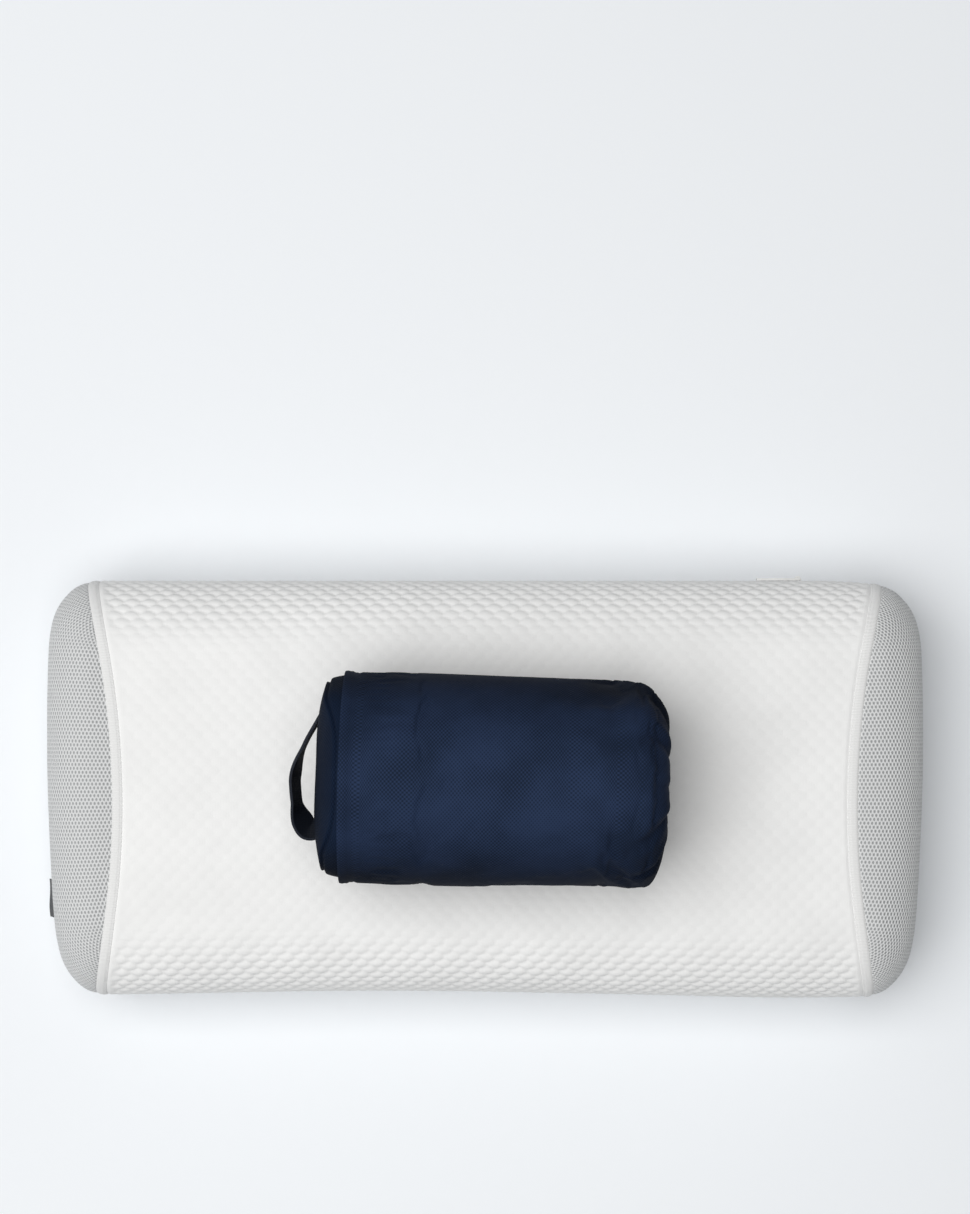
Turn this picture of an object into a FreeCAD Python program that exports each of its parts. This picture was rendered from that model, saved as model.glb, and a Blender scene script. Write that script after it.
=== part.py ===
"""Travel pillow with its carry bag.

A crowned foam pillow in a liner and a zipped, quilted cover with mesh ends, and on top of it a round
drawstring bag that holds a rolled pillow of the same kind.  Millimetres, +Z up.  +X runs along the
pillow, +Y points to its zipped back edge, and the origin is under its middle, on the surface that it
lies on.
"""

import FreeCAD
import Part
import Sketcher
import math
import os

from FreeCAD import Placement, Rotation, Vector

X_DIR = Vector(1, 0, 0)
Y_DIR = Vector(0, 1, 0)
Z_DIR = Vector(0, 0, 1)

DIMENSIONS = {
    # Pillow block
    "pillow_length": 500.0,
    "pillow_width": 240.0,
    "pillow_height": 100.0,
    "top_edge_radius": 45.0,
    "bottom_edge_radius": 30.0,
    "end_edge_radius": 28.0,
    "crown_radius": 900.0,
    "cover_thickness": 4.5,
    "liner_thickness": 1.0,
    "layer_gap": 0.3,
    # Curved seams between the quilted wrap and the mesh ends
    "seam_curve_radius": 396.0,
    "seam_reach": 40.0,
    "seam_width": 5.0,
    # Zip in the back edge
    "zip_length": 380.0,
    "zip_height": 41.0,
    "zip_slot_width": 15.0,
    "zip_recess": 1.5,
    "tape_thickness": 0.8,
    "chain_width": 1.9,
    "chain_thickness": 2.0,
    "chain_gap": 1.2,
    "stop_length": 2.5,
    "stop_rise": 0.3,
    # Zip slider and its pull
    "slider_length": 9.0,
    "slider_width": 8.0,
    "plate_thickness": 1.1,
    "running_gap": 0.3,
    "post_length": 2.4,
    "bar_radius": 0.9,
    "bridge_wall": 0.9,
    "bridge_width": 2.8,
    "pull_length": 24.0,
    "pull_width": 7.4,
    "pull_thickness": 1.4,
    # Label on the left end
    "label_length": 22.0,
    "label_width": 14.0,
    "label_thickness": 1.4,
    "label_from_middle": 64.0,
    "label_height": 52.0,
    # Carry bag
    "bag_x": -77.5,
    "bag_y": 6.0,
    "bag_turn": 1.75,
    "bag_radius": 56.0,
    "bag_length": 176.0,
    "bag_fabric": 1.2,
    "bag_flat_depth": 4.0,
    "bag_panel_bulge": 13.0,
    "bag_panel_curve": 150.0,
    "bag_panel_edge": 9.0,
    "bag_mouth_edge": 18.0,
    "bag_mouth_slope": 20.0,
    "rim_width": 4.0,
    "rim_rise": 0.8,
    "seat_gap": 0.3,
    # Drawstring hem, its eyelets and cord
    "hem_radius": 18.0,
    "hem_outer": 4.2,
    "hem_from_end": 5.5,
    "cord_radius": 1.5,
    "cord_spacing": 6.2,
    "eyelet_outer": 2.7,
    "eyelet_length": 1.8,
    # Cord lock
    "lock_radius": 5.5,
    "lock_length": 16.0,
    "lock_bore": 3.6,
    "lock_floor": 2.0,
    "button_travel": 3.5,
    "button_head": 1.6,
    "button_head_radius": 4.6,
    "button_stem": 9.0,
    "spring_wire": 0.5,
    "spring_turns": 4.0,
    # Webbing handle
    "handle_width": 20.0,
    "handle_thickness": 1.6,
    "handle_top": 35.0,
    "handle_bottom": 30.0,
    "handle_apex": 4.0,
    "handle_pivot": 15.0,
    "handle_stand": 27.5,
    "handle_overlap": 1.2,
    "anchor_length": 14.0,
    # Rolled pillow in the bag
    "roll_foam": 14.0,
    "roll_cover": 1.2,
    "roll_gap": 0.6,
    "roll_room": 3.1,
    "roll_shift": 1.5,
    "roll_tip": 2.0,
    "roll_length": 148.0,
    "roll_start": 3.0,
}
ROLL_HALF_TURNS = 4


def make_sheet(doc):
    """The driving dimensions, one named cell each."""
    sheet = doc.addObject("Spreadsheet::Sheet", "dims")
    for row, (name, value) in enumerate(DIMENSIONS.items(), start=1):
        sheet.set(f"A{row}", name)
        sheet.set(f"B{row}", str(value))
        sheet.setAlias(f"B{row}", name)
    doc.recompute()
    return sheet


doc = FreeCAD.newDocument("travel_pillow")
dims = make_sheet(doc)
nodes = []


def size(name):
    """A driving dimension's value, for starting geometry and for shapes made by Part's own functions."""
    return float(dims.get(name))


def bind(thing, **formulas):
    """Ties properties of a document object to the sheet; a double underscore stands for a dot."""
    for name, formula in formulas.items():
        thing.setExpression(name.replace("__", "."), formula)
    return thing


def place(thing, x="0", y="0", z="0"):
    """Ties a document object's position to the sheet."""
    for axis, formula in (("x", x), ("y", y), ("z", z)):
        thing.setExpression(f"Placement.Base.{axis}", formula)
    return thing


def node(thing, label):
    """Marks a document object as one of the sub-parts, whose label names its file."""
    thing.Label = label
    nodes.append(thing)
    return thing


# ---------------------------------------------------------------- small makers


def box(name, length, width, height, x, y, z):
    """A box whose three sizes and lowest corner are formulas."""
    made = doc.addObject("Part::Box", name)
    bind(made, Length=length, Width=width, Height=height)
    return place(made, x, y, z)


def rod(name, radius, height, axis, x="0", y="0", z="0"):
    """A cylinder that starts at x, y, z and runs along axis."""
    made = doc.addObject("Part::Cylinder", name)
    bind(made, Radius=radius, Height=height)
    made.Placement = Placement(Vector(), Rotation(Z_DIR, axis))
    return place(made, x, y, z)


def cut(name, base, tool):
    made = doc.addObject("Part::Cut", name)
    made.Base = base
    made.Tool = tool
    return made


def common(name, *shapes):
    made = doc.addObject("Part::MultiCommon", name)
    made.Shapes = list(shapes)
    return made


def fuse(name, *shapes):
    made = doc.addObject("Part::MultiFuse", name)
    made.Shapes = list(shapes)
    return made


def new_sketch(body, role):
    """A sketch on one of the body's own origin planes."""
    plane = next(f for f in body.Origin.OriginFeatures if f.Role == role)
    sketch = body.newObject("Sketcher::SketchObject", body.Name + "_sketch")
    sketch.AttachmentSupport = [(plane, "")]
    sketch.MapMode = "FlatFace"
    return sketch


def arc(x, y, radius, start, end):
    """A sketch arc, counter-clockwise between two angles in radians."""
    circle = Part.Circle(Vector(x, y, 0), Z_DIR, radius)
    return Part.ArcOfCircle(circle, start, end)


def line(x0, y0, x1, y1):
    return Part.LineSegment(Vector(x0, y0, 0), Vector(x1, y1, 0))


def rule(sketch, kind, *where):
    """Adds a geometric constraint to a sketch."""
    sketch.addConstraint(Sketcher.Constraint(kind, *where))


def gauge(sketch, name, formula, kind, *where):
    """Adds a sized constraint to a sketch, starting at the drawn size and tied to the sheet."""
    index = sketch.addConstraint(Sketcher.Constraint(kind, *where))
    sketch.renameConstraint(index, name)
    sketch.setExpression(f"Constraints.{name}", formula)


def pad(body, sketch, length):
    """Pads a sketch by the same amount to both sides."""
    feature = body.newObject("PartDesign::Pad", body.Name + "_pad")
    feature.Profile = sketch
    feature.SideType = "Symmetric"
    return bind(feature, Length=length)


# Sketch references: an element's start, end and centre, and the sketch's own origin and axes.
START, END, CENTRE = 1, 2, 3
H_AXIS, V_AXIS = -1, -2
ORIGIN = (-1, START)


# ---------------------------------------------------------------- pillow layers


def pillow_block(name, inset):
    """One closed pillow shape, inset from the cover's outer surface by a formula.

    A profile with a flat base, rounded long edges and a crowned top is padded along X, and both
    ends are rounded.
    """
    body = doc.addObject("PartDesign::Body", name)
    sketch = new_sketch(body, "YZ_Plane")
    bind(sketch, AttachmentOffset__Base__z="0")
    bind(body, Placement__Base__x="0")
    depth = size_of(inset)
    half = size("pillow_width") / 2
    top_radius = size("top_edge_radius")
    low_radius = size("bottom_edge_radius")
    crown = size("crown_radius")
    crown_z = size("pillow_height") - crown
    top_y = half - top_radius
    top_z = crown_z + math.sqrt((crown - top_radius) ** 2 - top_y**2)
    low_y = half - low_radius
    lean = math.atan2(top_z - crown_z, top_y)
    side = half - depth
    quarter = math.pi / 2
    sketch.addGeometry(
        [
            line(-low_y, depth, low_y, depth),
            arc(low_y, low_radius, low_radius - depth, -quarter, 0),
            line(side, low_radius, side, top_z),
            arc(top_y, top_z, top_radius - depth, 0, lean),
            arc(0, crown_z, crown - depth, lean, math.pi - lean),
            arc(-top_y, top_z, top_radius - depth, math.pi - lean, math.pi),
            line(-side, top_z, -side, low_radius),
            arc(-low_y, low_radius, low_radius - depth, math.pi, 3 * quarter),
        ]
    )
    base, low_back, back, top_back, top, top_front, front, low_front = range(8)
    for first in range(8):
        rule(sketch, "Tangent", first, END, (first + 1) % 8, START)
    rule(sketch, "Horizontal", base)
    rule(sketch, "Vertical", back)
    rule(sketch, "Vertical", front)
    rule(sketch, "PointOnObject", top, CENTRE, V_AXIS)
    rule(sketch, "Equal", low_back, low_front)
    rule(sketch, "Equal", top_back, top_front)
    width = f"dims.pillow_width / 2 - ({inset})"
    gauge(sketch, "low", f"dims.bottom_edge_radius - ({inset})", "Radius", low_back, low_radius - depth)
    gauge(sketch, "edge", f"dims.top_edge_radius - ({inset})", "Radius", top_back, top_radius - depth)
    gauge(sketch, "crown", f"dims.crown_radius - ({inset})", "Radius", top, crown - depth)
    drop = "dims.crown_radius - dims.pillow_height"
    gauge(sketch, "drop", drop, "DistanceY", top, CENTRE, *ORIGIN, -crown_z)
    gauge(sketch, "right", width, "DistanceX", *ORIGIN, back, START, side)
    gauge(sketch, "left", width, "DistanceX", front, START, *ORIGIN, side)
    if depth:
        gauge(sketch, "floor", inset, "DistanceY", *ORIGIN, base, START, depth)
    else:
        rule(sketch, "PointOnObject", base, START, H_AXIS)
    block = pad(body, sketch, f"dims.pillow_length - 2 * ({inset})")
    doc.recompute()
    end = size("pillow_length") / 2 - depth
    rims = [
        f"Edge{number}"
        for number, edge in enumerate(block.Shape.Edges, start=1)
        if all(abs(abs(vertex.X) - end) < 0.01 for vertex in edge.Vertexes)
    ]
    rounding = body.newObject("PartDesign::Fillet", name + "_rounding")
    rounding.Base = (block, rims)
    bind(rounding, Radius=f"min(dims.end_edge_radius; dims.bottom_edge_radius - 1) - ({inset})")
    doc.recompute()
    return body


def size_of(formula):
    """The value of a formula that adds up cells of the sheet, each with or without a minus sign."""
    total = 0.0
    for term in formula.replace("- ", "+ -").split("+"):
        name = term.strip()
        if name.startswith("-dims."):
            total -= size(name.removeprefix("-dims."))
        elif name.startswith("dims."):
            total += size(name.removeprefix("dims."))
    return total


COVER_INSIDE = "dims.cover_thickness"
LINER_OUTSIDE = COVER_INSIDE + " + dims.layer_gap"
LINER_INSIDE = LINER_OUTSIDE + " + dims.liner_thickness"
FOAM_OUTSIDE = LINER_INSIDE + " + dims.layer_gap"


def make_core_and_liner():
    """The foam block, and the thin knitted liner that is sewn shut around it."""
    node(pillow_block("foam_block", FOAM_OUTSIDE), "foam_core")
    outside = pillow_block("liner_outside", LINER_OUTSIDE)
    inside = pillow_block("liner_inside", LINER_INSIDE)
    node(cut("liner_shell", outside, inside), "inner_liner")


def seam_cylinder(name, side, extra):
    """An upright cylinder that reaches in over one end of the pillow, as far as a seam."""
    made = rod(
        name,
        "dims.seam_curve_radius + " + extra,
        "dims.pillow_height * 2",
        Z_DIR,
        x=f"{side} * (dims.pillow_length / 2 - dims.seam_reach + dims.seam_curve_radius)",
        z="-dims.pillow_height / 2",
    )
    return made


def make_cover():
    """The cover: a quilted wrap, a mesh end on each side and a binding along each curved seam."""
    outside = pillow_block("cover_outside", "0")
    shell = cut("cover_shell", outside, pillow_block("cover_inside", COVER_INSIDE))
    wrap = shell
    for name, side in (("left", -1), ("right", 1)):
        mesh_reach = seam_cylinder(name + "_mesh_reach", side, "0")
        band_reach = seam_cylinder(name + "_band_reach", side, "dims.seam_width")
        node(common(name + "_mesh", shell, mesh_reach), f"mesh_panel_{name}")
        band = cut(name + "_band_zone", band_reach, mesh_reach)
        node(common(name + "_band", shell, band), f"seam_binding_{name}")
        wrap = cut(name + "_wrap", wrap, band_reach)
    slot = box(
        "zip_slot",
        "dims.zip_length",
        "dims.cover_thickness * 2",
        "dims.zip_slot_width",
        "-dims.zip_length / 2",
        "dims.pillow_width / 2 - dims.cover_thickness * 1.5",
        "dims.zip_height - dims.zip_slot_width / 2",
    )
    node(cut("slotted_wrap", wrap, slot), "quilted_wrap")


def make_label():
    """A folded cloth label on the flat of the left end."""
    label = box(
        "label",
        "dims.label_thickness",
        "dims.label_length",
        "dims.label_width",
        "-dims.pillow_length / 2 - dims.label_thickness",
        "-dims.label_from_middle - dims.label_length / 2",
        "dims.label_height - dims.label_width / 2",
    )
    node(label, "side_label")


# ---------------------------------------------------------------- zip

# The zip's layers, as formulas for their distance from the pillow's middle plane along Y.
TAPE_Y = "(dims.pillow_width / 2 - dims.zip_recess)"
CHAIN_Y = TAPE_Y + " - dims.tape_thickness / 2"
CHAIN_BACK = CHAIN_Y + " - dims.chain_thickness / 2"
CHAIN_FRONT = CHAIN_Y + " + dims.chain_thickness / 2"
PLATE_BACK = CHAIN_FRONT + " + dims.running_gap"
BAR_Y = PLATE_BACK + " + dims.plate_thickness + dims.bar_radius + dims.running_gap"
CHAIN_EDGE = "dims.chain_gap / 2 + dims.chain_width"
SLIDER_X = "(dims.zip_length / 2 - dims.stop_length - dims.slider_length / 2 - dims.running_gap)"


def make_zip_sides():
    """Each side of the zip is a woven tape, sewn to the slot's edge, and a coil along it."""
    for name, side in (("upper", 1), ("lower", -1)):
        tape_height = f"dims.zip_slot_width / 2 - ({CHAIN_EDGE})"
        tape_low = CHAIN_EDGE if side > 0 else "-dims.zip_slot_width / 2"
        chain_low = "dims.chain_gap / 2" if side > 0 else f"-({CHAIN_EDGE})"
        tape = box(
            f"{name}_tape",
            "dims.zip_length",
            "dims.tape_thickness",
            tape_height,
            "-dims.zip_length / 2",
            TAPE_Y + " - dims.tape_thickness",
            f"dims.zip_height + {tape_low}",
        )
        node(tape, f"zip_tape_{name}")
        chain = box(
            f"{name}_chain_bar",
            "dims.zip_length - 2 * dims.stop_length",
            "dims.chain_thickness",
            "dims.chain_width",
            "-dims.zip_length / 2 + dims.stop_length",
            CHAIN_BACK,
            f"dims.zip_height + {chain_low}",
        )
        node(chain, f"zip_chain_{name}")


def make_zip_stops():
    """A box stop joins both coils at the open end, and each coil has a small stop at the closed end."""
    height = "dims.chain_thickness + 2 * dims.stop_rise"
    back = CHAIN_BACK + " - dims.stop_rise"
    node(
        box(
            "box_stop",
            "dims.stop_length",
            height,
            f"2 * ({CHAIN_EDGE})",
            "-dims.zip_length / 2",
            back,
            f"dims.zip_height - ({CHAIN_EDGE})",
        ),
        "zip_bottom_stop",
    )
    ends = [
        box(
            f"{name}_end_stop",
            "dims.stop_length",
            height,
            "dims.chain_width",
            "dims.zip_length / 2 - dims.stop_length",
            back,
            f"dims.zip_height + {low}",
        )
        for name, low in (("upper", "dims.chain_gap / 2"), ("lower", f"-({CHAIN_EDGE})"))
    ]
    pair = doc.addObject("Part::Compound", "end_stops")
    pair.Links = ends
    node(pair, "zip_top_stops")


def make_slider():
    """The slider: two plates around the coils, joined by a thin post between them, and a bridge."""
    plate = "dims.plate_thickness"
    width = "dims.slider_width"
    left = f"{SLIDER_X} - dims.slider_length / 2"
    low = f"dims.zip_height - {width} / 2"
    front = box("front_plate", "dims.slider_length", plate, width, left, PLATE_BACK, low)
    back = box(
        "back_plate",
        "dims.slider_length",
        plate,
        width,
        left,
        f"{CHAIN_BACK} - dims.running_gap - {plate}",
        low,
    )
    post_height = "(dims.chain_gap - 2 * dims.running_gap)"
    post = box(
        "slider_post",
        "dims.post_length",
        f"dims.chain_thickness + 2 * dims.running_gap + 2 * {plate}",
        post_height,
        f"{left}",
        f"{CHAIN_BACK} - dims.running_gap - {plate}",
        f"dims.zip_height - {post_height} / 2",
    )
    bridge_inside = "dims.bar_radius + dims.running_gap"
    bridge_low = "dims.zip_height - dims.bridge_width / 2"
    bridge_outside = f"({bridge_inside} + dims.bridge_wall)"
    leg_span = f"2 * {bridge_outside}"
    arch = rod("bridge_round", bridge_outside, "dims.bridge_width", Z_DIR, SLIDER_X, BAR_Y, bridge_low)
    legs = box(
        "bridge_legs",
        leg_span,
        bridge_inside,
        "dims.bridge_width",
        f"{SLIDER_X} - {leg_span} / 2",
        f"{BAR_Y} - ({bridge_inside})",
        bridge_low,
    )
    eye = rod("bridge_eye", bridge_inside, "dims.bridge_width", Z_DIR, SLIDER_X, BAR_Y, bridge_low)
    bridge = cut("bridge", fuse("bridge_block", arch, legs), eye)
    node(fuse("slider", front, back, post, bridge), "zip_slider")


def make_pull():
    """The pull tab: a flat plate with a window near one end, whose end bar turns in the bridge."""
    window_width = "dims.bridge_width + 2 * dims.running_gap"
    window_length = "2 * dims.running_gap + dims.bridge_wall + dims.pull_thickness"
    thick = "dims.pull_thickness"
    plate = box(
        "pull_plate",
        "dims.pull_length",
        thick,
        "dims.pull_width",
        f"{SLIDER_X} - dims.pull_length",
        f"{BAR_Y} - {thick} / 2",
        "dims.zip_height - dims.pull_width / 2",
    )
    window = box(
        "pull_window",
        window_length + " + dims.bar_radius",
        f"2 * {thick}",
        window_width,
        f"{SLIDER_X} - dims.bar_radius - ({window_length})",
        f"{BAR_Y} - {thick}",
        f"dims.zip_height - ({window_width}) / 2",
    )
    bar = rod(
        "pull_bar",
        "dims.bar_radius",
        "dims.pull_width",
        Z_DIR,
        SLIDER_X,
        BAR_Y,
        "dims.zip_height - dims.pull_width / 2",
    )
    node(fuse("pull", cut("pull_frame", plate, window), bar), "zip_pull")


# ---------------------------------------------------------------- carry bag

BAG_FLAT = "(dims.bag_radius - dims.bag_flat_depth)"


def bag_node(thing, label):
    """A sub-part made in the bag's own frame: origin in the rim's plane, +X along the bag.

    It is laid on the pillow's crown and turned a little about the upright axis.
    """
    thing.Placement = Placement(Vector(), Rotation(Z_DIR, 1))
    place(thing, "dims.bag_x", "dims.bag_y", f"dims.pillow_height + dims.seat_gap + {BAG_FLAT}")
    bind(thing, Placement__Rotation__Angle="-dims.bag_turn")
    return node(thing, label)


def bag_solid(name, inset):
    """The stuffed bag's outline, inset by a formula: a bulged bottom panel and a dished mouth end."""
    body = doc.addObject("PartDesign::Body", name)
    sketch = new_sketch(body, "XZ_Plane")
    depth = size_of(inset)
    radius = size("bag_radius")
    curve = size("bag_panel_curve")
    edge = size("bag_panel_edge")
    mouth = size("bag_mouth_edge")
    slope = math.radians(size("bag_mouth_slope"))
    curve_x = curve - size("bag_panel_bulge")
    edge_y = radius - edge
    edge_x = curve_x - math.sqrt((curve - edge) ** 2 - edge_y**2)
    edge_angle = math.atan2(edge_y, edge_x - curve_x)
    mouth_x = size("bag_length") - mouth
    mouth_y = radius - mouth
    wall = radius - depth
    lip = mouth - depth
    lip_x = mouth_x + lip * math.cos(slope)
    lip_y = mouth_y - lip * math.sin(slope)
    axis_x = lip_x - lip_y * math.tan(slope)
    apex_x = curve_x - (curve - depth)
    sketch.addGeometry(
        [
            line(apex_x, 0, axis_x, 0),
            line(axis_x, 0, lip_x, lip_y),
            arc(mouth_x, mouth_y, lip, -slope, math.pi / 2),
            line(mouth_x, wall, edge_x, wall),
            arc(edge_x, edge_y, edge - depth, math.pi / 2, edge_angle),
            arc(curve_x, 0, curve - depth, edge_angle, math.pi),
        ]
    )
    axis, cone, shoulder, side, rim, panel = range(6)
    rule(sketch, "Coincident", axis, END, cone, START)
    rule(sketch, "Tangent", cone, END, shoulder, START)
    rule(sketch, "Tangent", shoulder, END, side, START)
    rule(sketch, "Tangent", side, END, rim, START)
    rule(sketch, "Tangent", rim, END, panel, START)
    rule(sketch, "Coincident", panel, END, axis, START)
    rule(sketch, "PointOnObject", axis, START, H_AXIS)
    rule(sketch, "PointOnObject", axis, END, H_AXIS)
    rule(sketch, "PointOnObject", panel, CENTRE, H_AXIS)
    rule(sketch, "Horizontal", side)
    gauge(sketch, "panel", f"dims.bag_panel_curve - ({inset})", "Radius", panel, curve - depth)
    gauge(sketch, "rim", f"dims.bag_panel_edge - ({inset})", "Radius", rim, edge - depth)
    gauge(sketch, "lip", f"dims.bag_mouth_edge - ({inset})", "Radius", shoulder, lip)
    bulge = "dims.bag_panel_curve - dims.bag_panel_bulge"
    gauge(sketch, "bulge", bulge, "DistanceX", *ORIGIN, panel, CENTRE, curve_x)
    mouth_end = "dims.bag_length - dims.bag_mouth_edge"
    gauge(sketch, "mouth_end", mouth_end, "DistanceX", *ORIGIN, shoulder, CENTRE, mouth_x)
    gauge(sketch, "wall", f"dims.bag_radius - ({inset})", "DistanceY", *ORIGIN, side, START, wall)
    gauge(sketch, "dish", "90 - dims.bag_mouth_slope", "Angle", cone, math.pi / 2 - slope)
    turn = body.newObject("PartDesign::Revolution", name + "_turn")
    turn.Profile = sketch
    turn.ReferenceAxis = (sketch, ["H_Axis"])
    turn.Angle = 360
    doc.recompute()
    return body


def flat_bottom(name, solid, inset):
    """The solid above the flat that the bag rests on, inset by a formula."""
    keep = box(
        name + "_keep",
        "2 * dims.bag_length",
        "4 * dims.bag_radius",
        "4 * dims.bag_radius",
        "-dims.bag_length / 2",
        "-2 * dims.bag_radius",
        f"-{BAG_FLAT} + ({inset})",
    )
    return common(name, solid, keep)


def slab(name, low, length):
    """A slice across the bag, from low and as long as length."""
    return box(
        name,
        length,
        "4 * dims.bag_radius",
        "4 * dims.bag_radius",
        low,
        "-2 * dims.bag_radius",
        "-2 * dims.bag_radius",
    )


def make_bag_shell():
    """The bag's fabric: a bottom panel, a tube with a drawn-in mouth, and a binding over the rim seam."""
    inside = flat_bottom("bag_inside", bag_solid("bag_inside_turned", "dims.bag_fabric"), "dims.bag_fabric")
    outside = flat_bottom("bag_outside", bag_solid("bag_outside_turned", "0"), "0")
    shell = cut("bag_shell", outside, inside)
    panel_side = slab("panel_side", "-dims.bag_length", "dims.bag_length")
    bag_node(common("panel", shell, panel_side), "bag_end_panel")
    tube_side = slab("tube_side", "dims.rim_width", "dims.bag_length")
    mouth_hole = fuse(
        "mouth_hole",
        rod("mouth_middle", "dims.hem_radius", "dims.bag_length * 2", X_DIR),
        ring_at_mouth("mouth_ring", "dims.hem_outer"),
    )
    bag_node(cut("tube", common("tube_shell", shell, tube_side), mouth_hole), "bag_tube")
    ring = rod("rim_ring", "dims.bag_radius + dims.rim_rise", "dims.rim_width", X_DIR)
    bag_node(cut("rim", flat_bottom("rim_flat", ring, "0"), inside), "bag_rim_binding")


# ---------------------------------------------------------------- mouth of the bag

HEM_X = "(dims.bag_length - dims.hem_from_end)"


def ring_at_mouth(name, minor):
    made = doc.addObject("Part::Torus", name)
    bind(made, Radius1="dims.hem_radius", Radius2=minor)
    made.Placement = Placement(Vector(), Rotation(Z_DIR, X_DIR))
    return place(made, HEM_X)


def cord_leg(name, radius, side, low, high):
    """An upright rod where one end of the cord comes down out of the hem."""
    return rod(name, radius, f"({high}) - ({low})", Z_DIR, HEM_X, f"{side} * dims.cord_spacing / 2", low)


def make_hem():
    """The stitched casing around the mouth, filled by the cord and pierced by two eyelets."""
    casing = cut(
        "casing",
        ring_at_mouth("casing_out", "dims.hem_outer"),
        ring_at_mouth("casing_in", "dims.cord_radius"),
    )
    holes = []
    eyelets = []
    wide = "dims.eyelet_outer"
    low = "dims.hem_radius - dims.hem_outer - dims.layer_gap"
    high = low + " + dims.eyelet_length"
    inside = "dims.lock_radius"
    for side, where in ((-1, "front"), (1, "back")):
        holes.append(cord_leg(f"{where}_hem_hole", wide, side, inside, "dims.hem_radius"))
        body = cord_leg(f"{where}_eyelet_body", wide, side, low, high)
        bore = cord_leg(f"{where}_eyelet_bore", "dims.cord_radius", side, inside, "dims.hem_radius")
        eyelets.append(cut(f"{where}_eyelet", body, bore))
    bag_node(cut("hem", casing, fuse("hem_holes", *holes)), "mouth_hem")
    pair = doc.addObject("Part::Compound", "eyelet_pair")
    pair.Links = eyelets
    bag_node(pair, "cord_eyelets")


def make_drawstring():
    """The cord: a ring in the casing, with both ends led down into the cord lock's pockets."""
    top = "dims.hem_radius - dims.cord_radius / 2"
    legs = [
        cord_leg(f"{where}_cord_end", "dims.cord_radius", side, POCKET_FLOOR, top)
        for side, where in ((-1, "front"), (1, "back"))
    ]
    bag_node(fuse("cord", ring_at_mouth("cord_ring", "dims.cord_radius"), *legs), "drawstring")


# The cord lock lies across the mouth: its barrel runs along the bag's Y, centred on the hem's ring.
LOCK_TOTAL = "(dims.lock_length + dims.button_travel + dims.running_gap + dims.button_head)"
LOCK_LOW = f"(-{LOCK_TOTAL} / 2)"
LOCK_MOUTH = f"({LOCK_LOW} + dims.lock_length)"
POCKET_FLOOR = "dims.lock_bore + dims.layer_gap"


def barrel(name, radius, low, high):
    """A rod along the bag's Y, on the cord lock's axis."""
    return rod(name, radius, f"({high}) - ({low})", Y_DIR, HEM_X, low)


def make_cord_lock():
    """The cord lock: a barrel with two pockets for the cord, a sprung button in it and the spring."""
    body = barrel("lock_barrel", "dims.lock_radius", LOCK_LOW, LOCK_MOUTH)
    bore = barrel("lock_bore_hole", "dims.lock_bore", f"{LOCK_LOW} + dims.lock_floor", f"{LOCK_MOUTH} + 1")
    pockets = [
        cord_leg(f"{where}_pocket", "dims.cord_radius", side, POCKET_FLOOR, "dims.lock_radius + 1")
        for side, where in ((-1, "front"), (1, "back"))
    ]
    bag_node(cut("lock", body, fuse("lock_holes", bore, *pockets)), "cord_lock_body")
    head_low = f"({LOCK_MOUTH} + dims.button_travel + dims.running_gap)"
    head = barrel("button_top", "dims.button_head_radius", head_low, f"{head_low} + dims.button_head")
    stem_low = f"({head_low} - dims.button_stem)"
    stem = barrel("button_rod", "dims.lock_bore - dims.running_gap", stem_low, head_low)
    bag_node(fuse("button", stem, head), "cord_lock_button")


def make_lock_spring():
    """A coil spring between the barrel's floor and the button's stem, swept along a helix."""
    wire = "dims.spring_wire / 2"
    low = f"{LOCK_LOW} + dims.lock_floor + dims.layer_gap + {wire}"
    stem_end = f"{LOCK_MOUTH} + dims.button_travel + dims.running_gap - dims.button_stem"
    high = f"{stem_end} - dims.layer_gap - {wire}"
    radius = f"dims.lock_bore - 2 * dims.running_gap - {wire}"
    helix = doc.addObject("Part::Helix", "spring_line")
    height = f"(({high}) - ({low}))"
    bind(helix, Radius=radius, Height=height, Pitch=height + " / dims.spring_turns")
    helix.Placement = Placement(Vector(), Rotation(Z_DIR, Y_DIR))
    place(helix, HEM_X, low)
    section = doc.addObject("Part::Circle", "spring_section")
    bind(section, Radius=wire)
    place(section, f"{HEM_X} + {radius}", low)
    coil = doc.addObject("Part::Sweep", "spring_coil")
    coil.Sections = [section]
    coil.Spine = (helix, [])
    coil.Solid = True
    coil.Frenet = True
    bag_node(coil, "cord_lock_spring")


# ---------------------------------------------------------------- handle


# The strap's outer faces where it meets the two anchors, and the radius of its lower corner.
STRAP_TOP = "(dims.handle_top - dims.running_gap)"
STRAP_LOW = "(dims.handle_bottom - dims.running_gap)"
STRAP_RISE = "(dims.handle_stand - dims.handle_pivot)"
STRAP_CHORD = f"({STRAP_TOP} + dims.handle_apex)"
STRAP_ARC = f"({STRAP_CHORD} * {STRAP_CHORD} / (2 * {STRAP_RISE}) + {STRAP_RISE} / 2)"


def handle_slab(name, x, y, length, width):
    """A box as wide as the webbing, in the bag's own frame."""
    return box(name, length, width, "dims.handle_width", x, y, "-dims.handle_width / 2")


def strap_ring(name, radius, x, y):
    """A ring of webbing whose outer radius and centre are formulas."""
    low = "-dims.handle_width / 2"
    outer = rod(name + "_outer", radius, "dims.handle_width", Z_DIR, x, y, low)
    inner = rod(name + "_inner", f"{radius} - dims.handle_thickness", "dims.handle_width", Z_DIR, x, y, low)
    return cut(name, outer, inner)


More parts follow.
